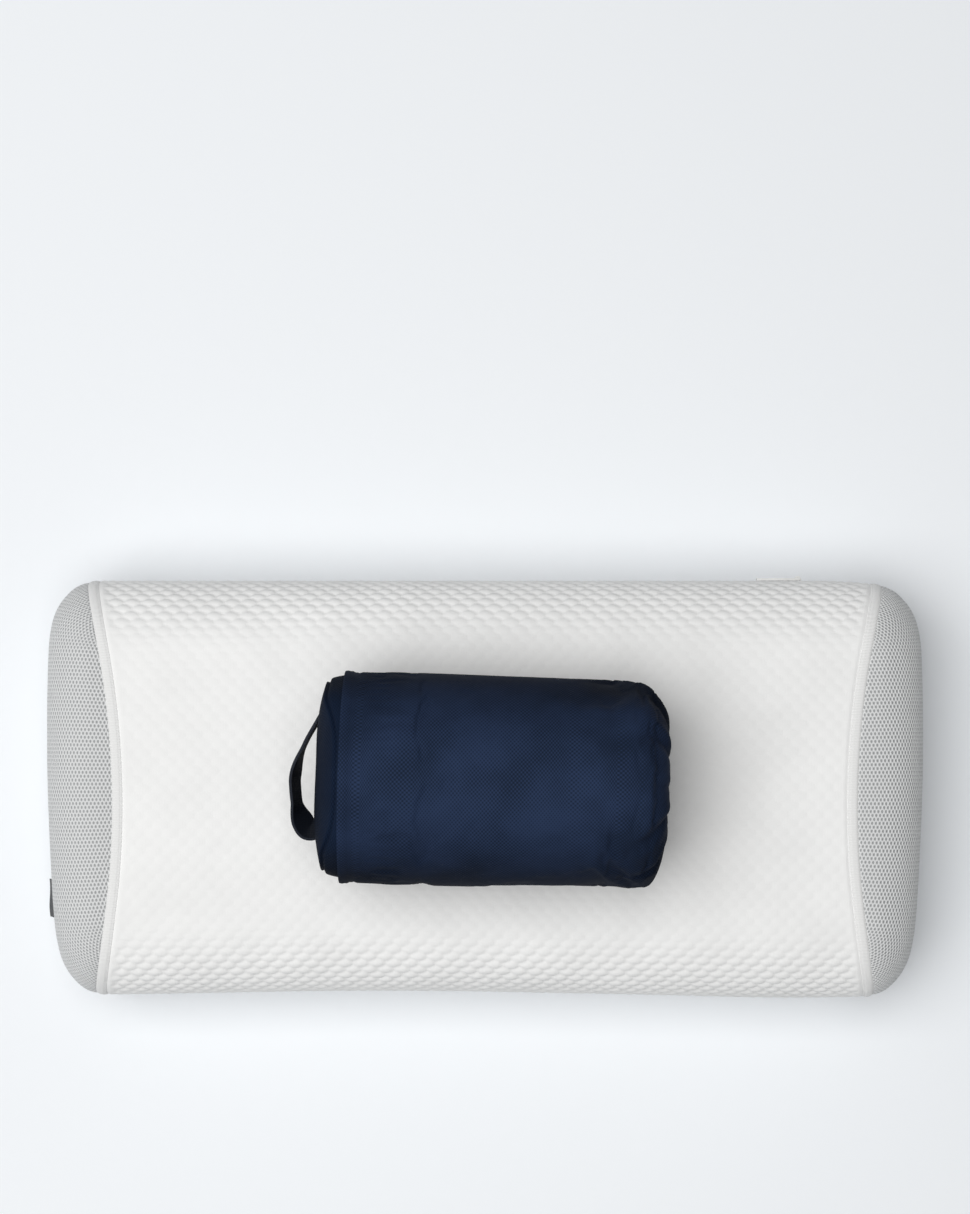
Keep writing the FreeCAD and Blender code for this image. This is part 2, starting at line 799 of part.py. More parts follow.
def make_handle():
    """The webbing loop: a long arc, a straight run and a tight corner, with two short hinge ends."""
    thick = "dims.handle_thickness"
    back = "-dims.handle_stand"
    long_zone = handle_slab("long_zone", back, "-dims.handle_apex", STRAP_RISE, STRAP_CHORD)
    long_centre = f"{STRAP_ARC} - dims.handle_stand"
    long_ring = strap_ring("long_ring", STRAP_ARC, long_centre, "-dims.handle_apex")
    long_arc = common("long_arc", long_ring, long_zone)
    run_length = f"{STRAP_LOW} - {STRAP_RISE} - dims.handle_apex"
    run = handle_slab("straight_run", back, f"-({STRAP_LOW} - {STRAP_RISE})", thick, run_length)
    corner_zone = handle_slab("corner_zone", back, f"-{STRAP_LOW}", STRAP_RISE, STRAP_RISE)
    pivot = "-dims.handle_pivot"
    corner_ring = strap_ring("corner_ring", STRAP_RISE, pivot, f"-({STRAP_LOW} - {STRAP_RISE})")
    corner = common("corner_arc", corner_ring, corner_zone)
    upper_end = handle_slab("upper_end", pivot, f"{STRAP_TOP} - {thick}", "dims.handle_overlap", thick)
    lower_end = handle_slab("lower_end", pivot, f"-{STRAP_LOW}", "dims.handle_overlap", thick)
    bag_node(fuse("strap", long_arc, run, corner, upper_end, lower_end), "handle_strap")


def make_handle_anchors():
    """The ends of the webbing: each lies on the bottom panel and turns out beside the loop's end."""
    outside = bag_solid("anchor_inside", "0")
    skin = cut("anchor_skin", bag_solid("anchor_outside", "-dims.handle_thickness"), outside)
    anchors = []
    for name, start, rise in (
        ("upper", "dims.handle_top", "dims.handle_top"),
        ("lower", "-dims.handle_bottom - dims.anchor_length", "-dims.handle_bottom - dims.handle_thickness"),
    ):
        reach = "dims.handle_pivot + dims.handle_overlap"
        patch_zone = handle_slab(name + "_patch_zone", f"-({reach})", start, reach, "dims.anchor_length")
        patch = common(name + "_patch", skin, patch_zone)
        rise_slab = handle_slab(name + "_rise_slab", f"-({reach})", rise, reach, "dims.handle_thickness")
        anchors.append(fuse(name + "_anchor", patch, cut(name + "_rise", rise_slab, outside)))
    pair = doc.addObject("Part::Compound", "anchor_pair")
    pair.Links = anchors
    bag_node(pair, "handle_anchors")


# ---------------------------------------------------------------- rolled pillow

HALF_PITCH = "(dims.roll_foam / 2 + dims.roll_cover + dims.roll_gap / 2)"
ROLL_OUTSIDE = "(dims.bag_radius - dims.bag_fabric - dims.roll_room)"
ROLL_CORE = f"({ROLL_OUTSIDE} - dims.roll_cover - dims.roll_foam - {ROLL_HALF_TURNS - 1} * {HALF_PITCH})"
ROLL_Z = f"(dims.bag_fabric - {BAG_FLAT} + {ROLL_OUTSIDE} - {HALF_PITCH})"


def roll_block(name, grow):
    """The rolled strip, grown by a formula: half rings from two centres, and a short tip at each end."""
    start = f"dims.roll_start - ({grow})"
    length = f"dims.roll_length + 2 * ({grow})"
    pieces = []
    for turn in range(ROLL_HALF_TURNS):
        upper = turn % 2 == 1
        centre = "-dims.roll_shift" if upper else f"{HALF_PITCH} - dims.roll_shift"
        inner = f"{ROLL_CORE} + {turn} * {HALF_PITCH} - ({grow})"
        outer = f"{inner} + dims.roll_foam + 2 * ({grow})"
        half = box(
            f"{name}_half_{turn}",
            length,
            "4 * dims.bag_radius",
            "2 * dims.bag_radius",
            start,
            "-2 * dims.bag_radius",
            ROLL_Z if upper else f"{ROLL_Z} - 2 * dims.bag_radius",
        )
        ring = cut(
            f"{name}_ring_{turn}",
            rod(f"{name}_outer_{turn}", outer, length, X_DIR, start, centre, ROLL_Z),
            rod(f"{name}_inner_{turn}", inner, length, X_DIR, start, centre, ROLL_Z),
        )
        pieces.append(common(f"{name}_turn_{turn}", ring, half))
    tip = f"dims.roll_tip + ({grow})"
    last = ROLL_HALF_TURNS - 1
    pieces.append(
        box(
            f"{name}_first_tip",
            length,
            f"dims.roll_foam + 2 * ({grow})",
            tip,
            start,
            f"{HALF_PITCH} - dims.roll_shift - {ROLL_CORE} - dims.roll_foam - ({grow})",
            ROLL_Z,
        )
    )
    pieces.append(
        box(
            f"{name}_last_tip",
            length,
            f"dims.roll_foam + 2 * ({grow})",
            tip,
            start,
            f"-dims.roll_shift - {ROLL_CORE} - {last} * {HALF_PITCH} - dims.roll_foam - ({grow})",
            f"{ROLL_Z} - ({tip})",
        )
    )
    return fuse(name, *pieces)


def make_roll():
    """A second pillow, rolled up in the bag: a spiral of foam in a thin knitted cover."""
    bag_node(roll_block("roll_foam_strip", "0"), "rolled_foam_core")
    outside = roll_block("roll_cover_strip", "dims.roll_cover")
    bag_node(cut("roll_cover_shell", outside, roll_block("roll_hollow", "0")), "rolled_pillow_cover")


# ---------------------------------------------------------------- build and export

make_core_and_liner()
make_cover()
make_label()
make_zip_sides()
make_zip_stops()
make_slider()
make_pull()
make_bag_shell()
make_hem()
make_drawstring()
make_cord_lock()
make_lock_spring()
make_handle()
make_handle_anchors()
make_roll()
doc.recompute()

broken = [thing.Name for thing in doc.Objects if {"Invalid", "Error"} & set(thing.State)]
broken += [thing.Label for thing in nodes if thing.Shape.isNull() or not thing.Shape.isValid()]
if broken:
    raise RuntimeError("these objects failed: " + ", ".join(broken))

os.makedirs("parts", exist_ok=True)
for thing in nodes:
    thing.Shape.exportStep(f"parts/{thing.Label}.step")
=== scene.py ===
"""Travel pillow and its carry bag: the looks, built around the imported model.

The file follows the way the two are put together: the pillow's foam, its quilted cover with mesh
ends and zip, then the carry bag with its panel, mouth, roll and handle, and last the floor, light and
camera.  Sizes are in metres, and those of the bag in millimetres in its own frame.
"""

import math

import bpy
from mathutils import Matrix, Vector


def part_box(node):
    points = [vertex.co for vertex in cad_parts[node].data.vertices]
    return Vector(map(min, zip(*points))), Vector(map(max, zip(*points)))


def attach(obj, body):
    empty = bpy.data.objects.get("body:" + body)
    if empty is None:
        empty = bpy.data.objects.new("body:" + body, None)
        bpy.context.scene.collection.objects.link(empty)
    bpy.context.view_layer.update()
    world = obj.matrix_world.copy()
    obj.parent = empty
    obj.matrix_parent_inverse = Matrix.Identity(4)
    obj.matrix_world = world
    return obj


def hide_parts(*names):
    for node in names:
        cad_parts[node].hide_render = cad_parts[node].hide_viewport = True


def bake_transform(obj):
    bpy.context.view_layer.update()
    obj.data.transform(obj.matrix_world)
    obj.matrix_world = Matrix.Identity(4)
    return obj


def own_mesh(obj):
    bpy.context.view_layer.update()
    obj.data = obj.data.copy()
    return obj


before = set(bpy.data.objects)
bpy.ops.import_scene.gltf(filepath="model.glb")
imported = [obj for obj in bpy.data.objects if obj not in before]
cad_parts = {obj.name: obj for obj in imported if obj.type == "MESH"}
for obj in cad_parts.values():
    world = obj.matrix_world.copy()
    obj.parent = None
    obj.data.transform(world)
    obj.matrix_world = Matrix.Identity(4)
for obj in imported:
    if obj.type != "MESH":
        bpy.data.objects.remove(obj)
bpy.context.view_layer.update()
MM = 0.001


# ---------------------------------------------------------------- foam core and liner
# A moulded block of slow-recovery polyurethane foam, closed in a thin knitted polyester liner that is
# sewn shut.  The cover hides both, and their solids from the frame only get their finishes.


def linear(code):
    """A hex sRGB colour as linear RGBA."""
    channels = [int(code[i : i + 2], 16) / 255 for i in (1, 3, 5)]
    return (*[c / 12.92 if c <= 0.04045 else ((c + 0.055) / 1.055) ** 2.4 for c in channels], 1.0)


def add_node(tree, kind, values=None, **settings):
    """Adds a shader node; values sets or links its inputs, settings are its own properties."""
    made = tree.nodes.new("ShaderNode" + kind)
    for name, value in settings.items():
        setattr(made, name, value)
    for socket, value in (values or {}).items():
        if isinstance(value, bpy.types.NodeSocket):
            tree.links.new(value, made.inputs[socket])
        else:
            made.inputs[socket].default_value = value
    return made


def new_finish(name, **sockets):
    """A material with one Principled shader, whose sockets are named with underscores for spaces."""
    material = bpy.data.materials.new(name)
    material.use_nodes = True
    shader = material.node_tree.nodes["Principled BSDF"]
    for socket, value in sockets.items():
        shader.inputs[socket.replace("_", " ")].default_value = value
    return material, material.node_tree, shader


def two_tone(tree, shader, value, first, second, ends=(0.0, 1.0)):
    """Colours a finish from first to second, as value goes from one end to the other."""
    shade = add_node(tree, "ValToRGB", {"Fac": value})
    for i, colour in enumerate((first, second)):
        shade.color_ramp.elements[i].position = ends[i]
        shade.color_ramp.elements[i].color = linear(colour)
    tree.links.new(shade.outputs["Color"], shader.inputs["Base Color"])


def emboss(tree, shader, height, rise, invert=False):
    """Gives a finish a relief that rises so many metres as height goes from 0 to 1."""
    relief = add_node(tree, "Bump", {"Height": height, "Distance": rise}, invert=invert)
    tree.links.new(relief.outputs["Normal"], shader.inputs["Normal"])


def dress(thing, material):
    """Gives a piece or a carried-over node one material."""
    thing.data.materials.clear()
    thing.data.materials.append(material)


# Open-cell polyurethane foam: a moulded skin full of pores about 0.8 mm across, dull and off-white.
FOAM_PORE = 0.8 * MM
foam, tree, shader = new_finish("open_cell_foam", Roughness=0.95, Specular_IOR_Level=0.2)
place = add_node(tree, "TexCoord")
pores = add_node(tree, "TexVoronoi", {"Vector": place.outputs["Object"], "Scale": 1 / FOAM_PORE})
two_tone(tree, shader, pores.outputs["Distance"], "#f2ecd6", "#d9cfae")
emboss(tree, shader, pores.outputs["Distance"], 0.2 * MM, invert=True)
dress(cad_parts["foam_core"], foam)

# Fine single-jersey polyester knit: ribs of stitches 1 mm apart, soft and slightly fuzzy.
JERSEY_RIB = 1.0 * MM
jersey, tree, shader = new_finish("single_jersey_knit", Roughness=0.85, Sheen_Weight=0.2)
place = add_node(tree, "TexCoord")
ribs = add_node(
    tree,
    "TexWave",
    {"Vector": place.outputs["Object"], "Scale": 1 / (math.pi * JERSEY_RIB), "Distortion": 0.6},
    bands_direction="DIAGONAL",
)
two_tone(tree, shader, ribs.outputs["Fac"], "#d6d6d4", "#ececea")
emboss(tree, shader, ribs.outputs["Fac"], 0.15 * MM)
dress(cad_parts["inner_liner"], jersey)


# ---------------------------------------------------------------- quilted wrap
# The cover's main piece: a double jacquard knit whose two layers are knitted together along crossing
# lines, with soft filler yarn between them, so it rises in rows of small staggered bubbles.  It goes
# once round the foam, and both of its ends are cut in a shallow curve.
PILLOW_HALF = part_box("mesh_panel_right")[1][0]
WIDTH_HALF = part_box("quilted_wrap")[1][1]
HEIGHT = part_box("quilted_wrap")[1][2]
SHOULDER_RADIUS = 45 * MM
HEEL_RADIUS = 30 * MM
END_RADIUS = 28 * MM
CROWN_RADIUS = 900 * MM
BUBBLE_LENGTH = 9.6 * MM
BUBBLE_ROWS = 61
BUBBLE_WIDTH = 10.4 * MM
BUBBLE_HEIGHT = 7.2 * MM
BUBBLE_DEPTH = 1.35 * MM
BUBBLE_RISE = 0.3 * MM
BUBBLE_TOP_SHARE = 0.28
SEAM_RADIUS = 396 * MM
SEAM_WIDTH = 5 * MM
SEAM_MIDDLE = 40 * MM
SEAM_TUCK = 0.9 * MM
SLOT_HEM = 1.6 * MM
WRAP_COLUMNS = 440
WRAP_ROWS = 700
SLOT_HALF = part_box("zip_tape_upper")[1][0]
SLOT_Z = (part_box("zip_tape_upper")[1][2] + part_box("zip_tape_lower")[0][2]) / 2
SLOT_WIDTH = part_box("zip_tape_upper")[1][2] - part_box("zip_tape_lower")[0][2]

shoulder_y = WIDTH_HALF - SHOULDER_RADIUS
crown_z = HEIGHT - CROWN_RADIUS
shoulder_z = crown_z + math.sqrt((CROWN_RADIUS - SHOULDER_RADIUS) ** 2 - shoulder_y**2)
lean = math.atan2(shoulder_z - crown_z, shoulder_y)
heel_y = WIDTH_HALF - HEEL_RADIUS
crown_run = CROWN_RADIUS * (math.pi / 2 - lean)
shoulder_run = SHOULDER_RADIUS * lean
side_run = shoulder_z - HEEL_RADIUS
heel_run = HEEL_RADIUS * math.pi / 2
girth = 2 * (crown_run + shoulder_run + side_run + heel_run + heel_y)
seam_centre = PILLOW_HALF - SEAM_MIDDLE + SEAM_RADIUS
flat_half = PILLOW_HALF - END_RADIUS
# A sheet that goes once round stops this share of the way, just before it meets itself underneath.
ONCE_ROUND = 0.99999


def section(around):
    """Side, Y, Z and normal's angle of the pillow's section, at a distance from the top's middle."""
    side = math.copysign(1.0, around)
    left = abs(around)
    if left < crown_run:
        angle = math.pi / 2 - left / CROWN_RADIUS
        return side, CROWN_RADIUS * math.cos(angle), crown_z + CROWN_RADIUS * math.sin(angle), angle
    left -= crown_run
    if left < shoulder_run:
        angle = lean - left / SHOULDER_RADIUS
        y = shoulder_y + SHOULDER_RADIUS * math.cos(angle)
        return side, y, shoulder_z + SHOULDER_RADIUS * math.sin(angle), angle
    left -= shoulder_run
    if left < side_run:
        return side, WIDTH_HALF, shoulder_z - left, 0.0
    left -= side_run
    if left < heel_run:
        angle = -left / HEEL_RADIUS
        y = heel_y + HEEL_RADIUS * math.cos(angle)
        return side, y, HEEL_RADIUS + HEEL_RADIUS * math.sin(angle), angle
    return side, heel_y - (left - heel_run), 0.0, -math.pi / 2


def seam_x(y, out=0.0):
    """How far along X a seam lies at y; out moves it towards the pillow's middle."""
    return seam_centre - math.sqrt((SEAM_RADIUS + out) ** 2 - y * y)


def on_cover(x, around, lift):
    """A point lifted off the cover, at x and a distance round the pillow, rounded towards its ends."""
    side, y, z, angle = section(around)
    over = min(max(abs(x) - flat_half, 0.0), END_RADIUS * 0.999)
    inset = END_RADIUS - math.sqrt(END_RADIUS**2 - over**2) - lift
    return Vector((x, side * (y - math.cos(angle) * inset), z - math.sin(angle) * inset))


def hump(value, centre, spread):
    """A smooth bump of height 1 around centre."""
    return math.exp(-(((value - centre) / spread) ** 2))


def ease(value, start, stop):
    """0 before start, 1 after stop and smooth between them."""
    share = min(max((value - start) / (stop - start), 0.0), 1.0)
    return share * share * (3 - 2 * share)


# How far the used cover gives: its ends towards the front and at the front corners, its front edge left
# and right of the middle, its back right corner, and its top at the ends and in soft waves.
END_GIVE = 3.2 * MM
CORNER_GIVE = 1.8 * MM
END_SWELL = 0.6 * MM
FRONT_DIP = 2.6 * MM
FRONT_SWELL = 1.5 * MM
BACK_CORNER_DIP = 2.5 * MM
TOP_SAG = 3.0 * MM
TOP_WAVE = 0.6 * MM


def settle(point):
    """The slack and lean that a real, used pillow has: its ends and front edge aren't quite straight."""
    x, y, z = point
    front = ease(-y, -20 * MM, 110 * MM)
    height = ease(z, 50 * MM, HEIGHT)
    end = abs(x) / PILLOW_HALF
    x -= math.copysign(1.0, x) * end * (END_GIVE * front + CORNER_GIVE * ease(-y, 60 * MM, 120 * MM))
    x += math.copysign(END_SWELL, x) * end * hump(y, 55 * MM, 45 * MM)
    y += front * FRONT_DIP * hump(x, -60 * MM, 120 * MM)
    y -= front * FRONT_SWELL * hump(x, 175 * MM, 60 * MM)
    y -= BACK_CORNER_DIP * ease(y, 20 * MM, 110 * MM) * ease(x, 195 * MM, 245 * MM)
    wave = TOP_WAVE * math.sin(x / (61 * MM) + 0.7) * math.cos(y / (47 * MM))
    z -= height * (TOP_SAG * end**4 + wave)
    return Vector((x, y, max(z, 0.0)))


def dimple(x, around):
    """Depth of the quilting: 0 on top of a bubble, and 1 where its rounded edge would end."""
    along = x / BUBBLE_LENGTH
    across = around / (girth / BUBBLE_ROWS)
    along += 0.06 * math.sin(around / (31 * MM) + 1)
    along += 0.04 * math.sin(x / (19 * MM) + around / (43 * MM))
    across += 0.05 * math.sin(x / (37 * MM)) + 0.04 * math.sin(around / (29 * MM) + x / (53 * MM))
    least = 1.0
    for half in (0.0, 0.5):
        aside = (along - half - round(along - half)) * BUBBLE_LENGTH / (BUBBLE_WIDTH / 2)
        ahead = (across - half - round(across - half)) * girth / BUBBLE_ROWS / (BUBBLE_HEIGHT / 2)
        least = min(least, aside**2 + ahead**2)
    return least


def new_piece(name, place_vertex, columns, rows):
    """A sheet of columns by rows cells.  place_vertex says where a corner goes by its shares, 0 to 1."""
    bpy.ops.object.select_all(action="DESELECT")
    bpy.ops.mesh.primitive_grid_add(x_subdivisions=columns, y_subdivisions=rows, size=1)
    piece = bpy.context.object
    piece.name = piece.data.name = name
    for vertex in piece.data.vertices:
        vertex.co = place_vertex(vertex.co.x + 0.5, vertex.co.y + 0.5)
    bpy.ops.object.shade_smooth()
    return piece


def weld(piece, distance=0.05 * MM):
    """Joins a sheet's edges where they meet, and turns its faces outwards."""
    bpy.ops.object.select_all(action="DESELECT")
    piece.select_set(True)
    bpy.context.view_layer.objects.active = piece
    bpy.ops.object.mode_set(mode="EDIT")
    bpy.ops.mesh.select_all(action="SELECT")
    bpy.ops.mesh.remove_doubles(threshold=distance)
    bpy.ops.mesh.normals_make_consistent(inside=False)
    bpy.ops.object.mode_set(mode="OBJECT")


def pick(piece, kind, test):
    """Goes into edit mode with just those of a piece's faces or edges selected whose middle passes."""
    bpy.context.view_layer.objects.active = piece
    bpy.ops.object.mode_set(mode="EDIT")
    bpy.ops.mesh.select_mode(type=kind)
    bpy.ops.mesh.select_all(action="DESELECT")
    bpy.ops.object.mode_set(mode="OBJECT")
    corners = piece.data.vertices
    for part in piece.data.polygons if kind == "FACE" else piece.data.edges:
        middle = sum((corners[i].co for i in part.vertices), Vector()) / len(part.vertices)
        part.select = test(middle)
    bpy.ops.object.mode_set(mode="EDIT")


def slot_gap(x, z):
    """Distance outside the zip's slot, and less than 0 in it."""
    return max(abs(x) - SLOT_HALF, abs(z - SLOT_Z) - SLOT_WIDTH / 2)


def wrap_vertex(share_x, share_around):
    """A corner of the wrap: tucked in along its seams, and full of bubbles between them.

    The bubbles are deepest down the sides, and pulled nearly flat over the top.
    """
    around = (share_around - 0.5) * girth * ONCE_ROUND
    y = section(around)[1]
    limit = seam_x(y, SEAM_WIDTH)
    x = (2 * share_x - 1) * limit
    side, y, z, angle = section(around)
    near = limit - abs(x)
    full = ease(near, 0.5 * MM, 7 * MM)
    if angle == 0 and side > 0:
        full *= ease(slot_gap(x, z), 0.5 * MM, 6 * MM)
        if abs(abs(x) - SLOT_HALF) < limit / WRAP_COLUMNS and slot_gap(0, z) < 1 * MM:
            x = math.copysign(SLOT_HALF, x)
        for edge in (SLOT_Z - SLOT_WIDTH / 2, SLOT_Z + SLOT_WIDTH / 2):
            if abs(z - edge) < girth / WRAP_ROWS / 2 and abs(x) < SLOT_HALF + 1 * MM:
                around += z - edge
    steep = ease(math.cos(angle), 0.06, 0.62)
    depth = BUBBLE_DEPTH * (BUBBLE_TOP_SHARE + (1 - BUBBLE_TOP_SHARE) * steep)
    lift = BUBBLE_RISE - depth * full * dimple(x, around)
    lift -= SEAM_TUCK * (1 - ease(near, 0.0, 2.5 * MM))
    return settle(on_cover(x, around, lift))


wrap = new_piece("quilted_cover_wrap", wrap_vertex, WRAP_COLUMNS, WRAP_ROWS)
weld(wrap)

# The zip's slot is cut out of the back, and its edge is turned in to the tape.
pick(wrap, "FACE", lambda at: at.y > 100 * MM and slot_gap(at.x, at.z) < -0.1 * MM)
bpy.ops.mesh.delete(type="FACE")
bpy.ops.object.mode_set(mode="OBJECT")
pick(wrap, "EDGE", lambda at: at.y > 100 * MM and abs(slot_gap(at.x, at.z)) < 0.25 * MM)
bpy.ops.mesh.extrude_region_move(TRANSFORM_OT_translate={"value": (0, -SLOT_HEM, 0)})
bpy.ops.object.mode_set(mode="OBJECT")
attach(wrap, "pillow")
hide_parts("quilted_wrap")

# Polyester jacquard double knit, bright white: rows of tiny knitted stitches, 0.9 mm wide and 0.7 mm
# high, give it a dry matt surface with a faint mottle.
STITCH_WIDTH = 0.9 * MM
STITCH_HEIGHT = 0.7 * MM
jacquard, tree, shader = new_finish(
    "jacquard_double_knit", Roughness=0.9, Specular_IOR_Level=0.25, Sheen_Weight=0.12
)
place = add_node(tree, "TexCoord")
stitch_scale = (1 / STITCH_WIDTH, 1 / STITCH_HEIGHT, 1 / STITCH_HEIGHT)
scaled = add_node(tree, "Mapping", {"Vector": place.outputs["Object"], "Scale": stitch_scale})
stitches = add_node(
    tree, "TexVoronoi", {"Vector": scaled.outputs["Vector"], "Scale": 1.0, "Randomness": 0.35}
)
mottle = add_node(tree, "TexNoise", {"Vector": place.outputs["Object"], "Scale": 35.0, "Detail": 3.0})
two_tone(tree, shader, mottle.outputs["Fac"], "#efefee", "#f4f4f3", (0.3, 0.7))
emboss(tree, shader, stitches.outputs["Distance"], 0.12 * MM, invert=True)
dress(wrap, jacquard)


# ---------------------------------------------------------------- mesh ends
# A cap of white 3D spacer mesh over each end, so that the foam can breathe: two knitted faces held
# apart by springy yarns, with slim open holes in staggered rows.  It is sewn to the wrap all round.
# HOLE_LENGTH is from one hole to the next in a row, and HOLE_PITCH from one row to the next.
HOLE_PITCH = 1.1 * MM
HOLE_LENGTH = 4.5 * MM
HOLE_DEPTH = 0.4 * MM
MESH_WIDE = 134 * MM
MESH_HIGH = 82 * MM
MESH_COLUMNS = 4 * round(MESH_WIDE / HOLE_LENGTH * 2)
MESH_ROWS = 2 * round(MESH_HIGH / HOLE_PITCH * 2)
MESH_BULGE = 1.2 * MM
MESH_TUCK = 1.6 * MM
face_y = WIDTH_HALF - END_RADIUS
face_low = END_RADIUS
face_crown = CROWN_RADIUS - END_RADIUS
face_corner = SHOULDER_RADIUS - END_RADIUS
face_heel = HEEL_RADIUS - END_RADIUS
face_middle = HEIGHT / 2


def over_end(p, q):
    """Where a flat mesh, p along Y and q up from its middle, lies on the right-hand rounded end.

    Gives X, Y, Z and the outward normal.
    """
    side = math.copysign(1.0, p)
    y, z = abs(p), q + face_middle
    corner = Vector((y - shoulder_y, z - shoulder_z))
    crown = Vector((y, z - crown_z))
    if z < HEEL_RADIUS and y > heel_y:
        away = Vector((y - heel_y, z - HEEL_RADIUS))
        edge = away.length - face_heel
    elif z > shoulder_z and corner.x > 0 and math.atan2(corner.y, corner.x) < lean:
        away = corner
        edge = corner.length - face_corner
    elif crown.length - face_crown > max(y - face_y, 0.0):
        away = crown
        edge = crown.length - face_crown
    elif face_low - z > max(y - face_y, 0.0):
        away = Vector((0, -1))
        edge = face_low - z
    else:
        away = Vector((1, 0))
        edge = y - face_y
    if edge <= 0:
        return PILLOW_HALF, p, z, Vector((1, 0, 0))
    away = away.normalized()
    turn = min(edge / END_RADIUS, math.pi / 2)
    straight = max(edge - END_RADIUS * math.pi / 2, 0.0)
    reach = END_RADIUS * math.sin(turn) - edge
    normal = Vector((math.cos(turn), side * away.x * math.sin(turn), away.y * math.sin(turn)))
    x = flat_half + END_RADIUS * math.cos(turn) - straight
    return x, p + side * away.x * reach, z + away.y * reach, normal


def mesh_end(name, side):
    """One mesh end, sunk at every fourth corner of every second row of its cells, for the holes."""

    def mesh_vertex(share_p, share_q):
        p = (2 * share_p - 1) * MESH_WIDE
        q = (2 * share_q - 1) * MESH_HIGH
        x, y, z, normal = over_end(p, q)
        column, row = round(share_p * MESH_COLUMNS), round(share_q * MESH_ROWS)
        hole = row % 2 == 0 and (column + row) % 4 == 0
        past = seam_x(min(abs(y), WIDTH_HALF), 0.0) - x
        bulge = MESH_BULGE * max(0.0, 1 - (p / face_y) ** 2) * max(0.0, 1 - (q / (40 * MM)) ** 2)
        bulge += 0.5 * MM * hump(past, -8 * MM, 6 * MM)
        tuck = MESH_TUCK * ease(past, -2.0 * MM, 2.0 * MM)
        lift = bulge - tuck - (HOLE_DEPTH if hole else 0.0)
        outwards = Vector((side * normal.x, normal.y, normal.z))
        return settle(Vector((side * x, y, z)) + outwards * lift)

    piece = new_piece(name, mesh_vertex, MESH_COLUMNS, MESH_ROWS)
    pick(piece, "FACE", lambda at: seam_x(min(abs(at.y), WIDTH_HALF)) - abs(at.x) > 6 * MM)
    bpy.ops.mesh.delete(type="FACE")
    bpy.ops.mesh.select_all(action="SELECT")
    bpy.ops.mesh.normals_make_consistent(inside=False)
    bpy.ops.object.mode_set(mode="OBJECT")
    return piece


mesh_ends = []
for name, side in (("left", -1), ("right", 1)):
    mesh = mesh_end(f"mesh_end_{name}", side)
    mesh_ends.append(mesh)
    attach(mesh, "pillow")
    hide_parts(f"mesh_panel_{name}")

# White polyester monofilament, knitted open: the yarns shine a little, and the holes are coloured darker
# as painted shade.
air_mesh, tree, shader = new_finish(
    "spacer_mesh_knit", Roughness=0.7, Specular_IOR_Level=0.4, Sheen_Weight=0.1
)
place = add_node(tree, "UVMap")
flat = add_node(tree, "SeparateXYZ", {"Vector": place.outputs["UV"]})
waves = []
for axis, count in (("X", MESH_COLUMNS / 2), ("Y", MESH_ROWS / 2)):
    turn = add_node(tree, "Math", {0: flat.outputs[axis], 1: math.pi * count}, operation="MULTIPLY")
    waves.append(add_node(tree, "Math", {0: turn.outputs[0]}, operation="COSINE"))
holes = add_node(tree, "Math", {0: waves[0].outputs[0], 1: waves[1].outputs[0]}, operation="MULTIPLY")
two_tone(tree, shader, holes.outputs[0], "#e0e1e1", "#a0a2a3", (0.0, 0.6))
emboss(tree, shader, holes.outputs[0], 0.3 * MM, invert=True)
for mesh in mesh_ends:
    dress(mesh, air_mesh)


# ---------------------------------------------------------------- seam bands
# The wrap and the mesh ends are joined by an overlocked seam under a flat knitted band 5 mm wide, which
# stands a little proud and is topstitched on the wrap's side.
BAND_RISE = 0.45 * MM
STITCH_LENGTH = 3.0 * MM


def seam_band(name, side):
    """One band round the pillow, with its long edges tucked in and a row of stitches pulled into it."""

    def band_vertex(share_around, share_across):
        around = (share_around - 0.5) * girth * ONCE_ROUND
        out = (1.3 * share_across - 0.15) * SEAM_WIDTH
        x = side * seam_x(section(around)[1], out)
        row = hump(share_across, 0.78, 0.06)
        pulled = 0.5 + 0.5 * math.cos(2 * math.pi * around / STITCH_LENGTH)
        lift = BAND_RISE * (1 - 2.6 * abs(2 * share_across - 1) ** 4) - row * (0.2 + 0.25 * pulled) * MM
        return settle(on_cover(x, around, lift))

    piece = new_piece(name, band_vertex, 900, 14)
    weld(piece)
    return piece


# Warp-knitted polyester tape: fine ribs across the band, a touch brighter than the wrap.
BAND_RIB = 0.9 * MM
band_knit, tree, shader = new_finish(
    "warp_knitted_band", Roughness=0.8, Specular_IOR_Level=0.3, Sheen_Weight=0.1
)
place = add_node(tree, "UVMap")
flat = add_node(tree, "SeparateXYZ", {"Vector": place.outputs["UV"]})
rib_turns = 2 * math.pi * girth / BAND_RIB
turn = add_node(tree, "Math", {0: flat.outputs["X"], 1: rib_turns}, operation="MULTIPLY")
ribs = add_node(tree, "Math", {0: turn.outputs[0]}, operation="SINE")
two_tone(tree, shader, ribs.outputs[0], "#ececeb", "#f5f5f4")
emboss(tree, shader, ribs.outputs[0], 0.08 * MM)

for name, side in (("left", -1), ("right", 1)):
    band = seam_band(f"seam_band_{name}", side)
    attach(band, "pillow")
    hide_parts(f"seam_binding_{name}")
    dress(band, band_knit)


# ---------------------------------------------------------------- side label
# A short length of dark woven label tape, folded double and sewn along its top to the left end, so that
# its fold stands out a little.  It is blank.
LABEL_LOW, LABEL_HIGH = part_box("side_label")
LABEL_THICKNESS = 0.45 * MM
LABEL_STAND = 4.6 * MM
LABEL_THREAD = 0.8 * MM


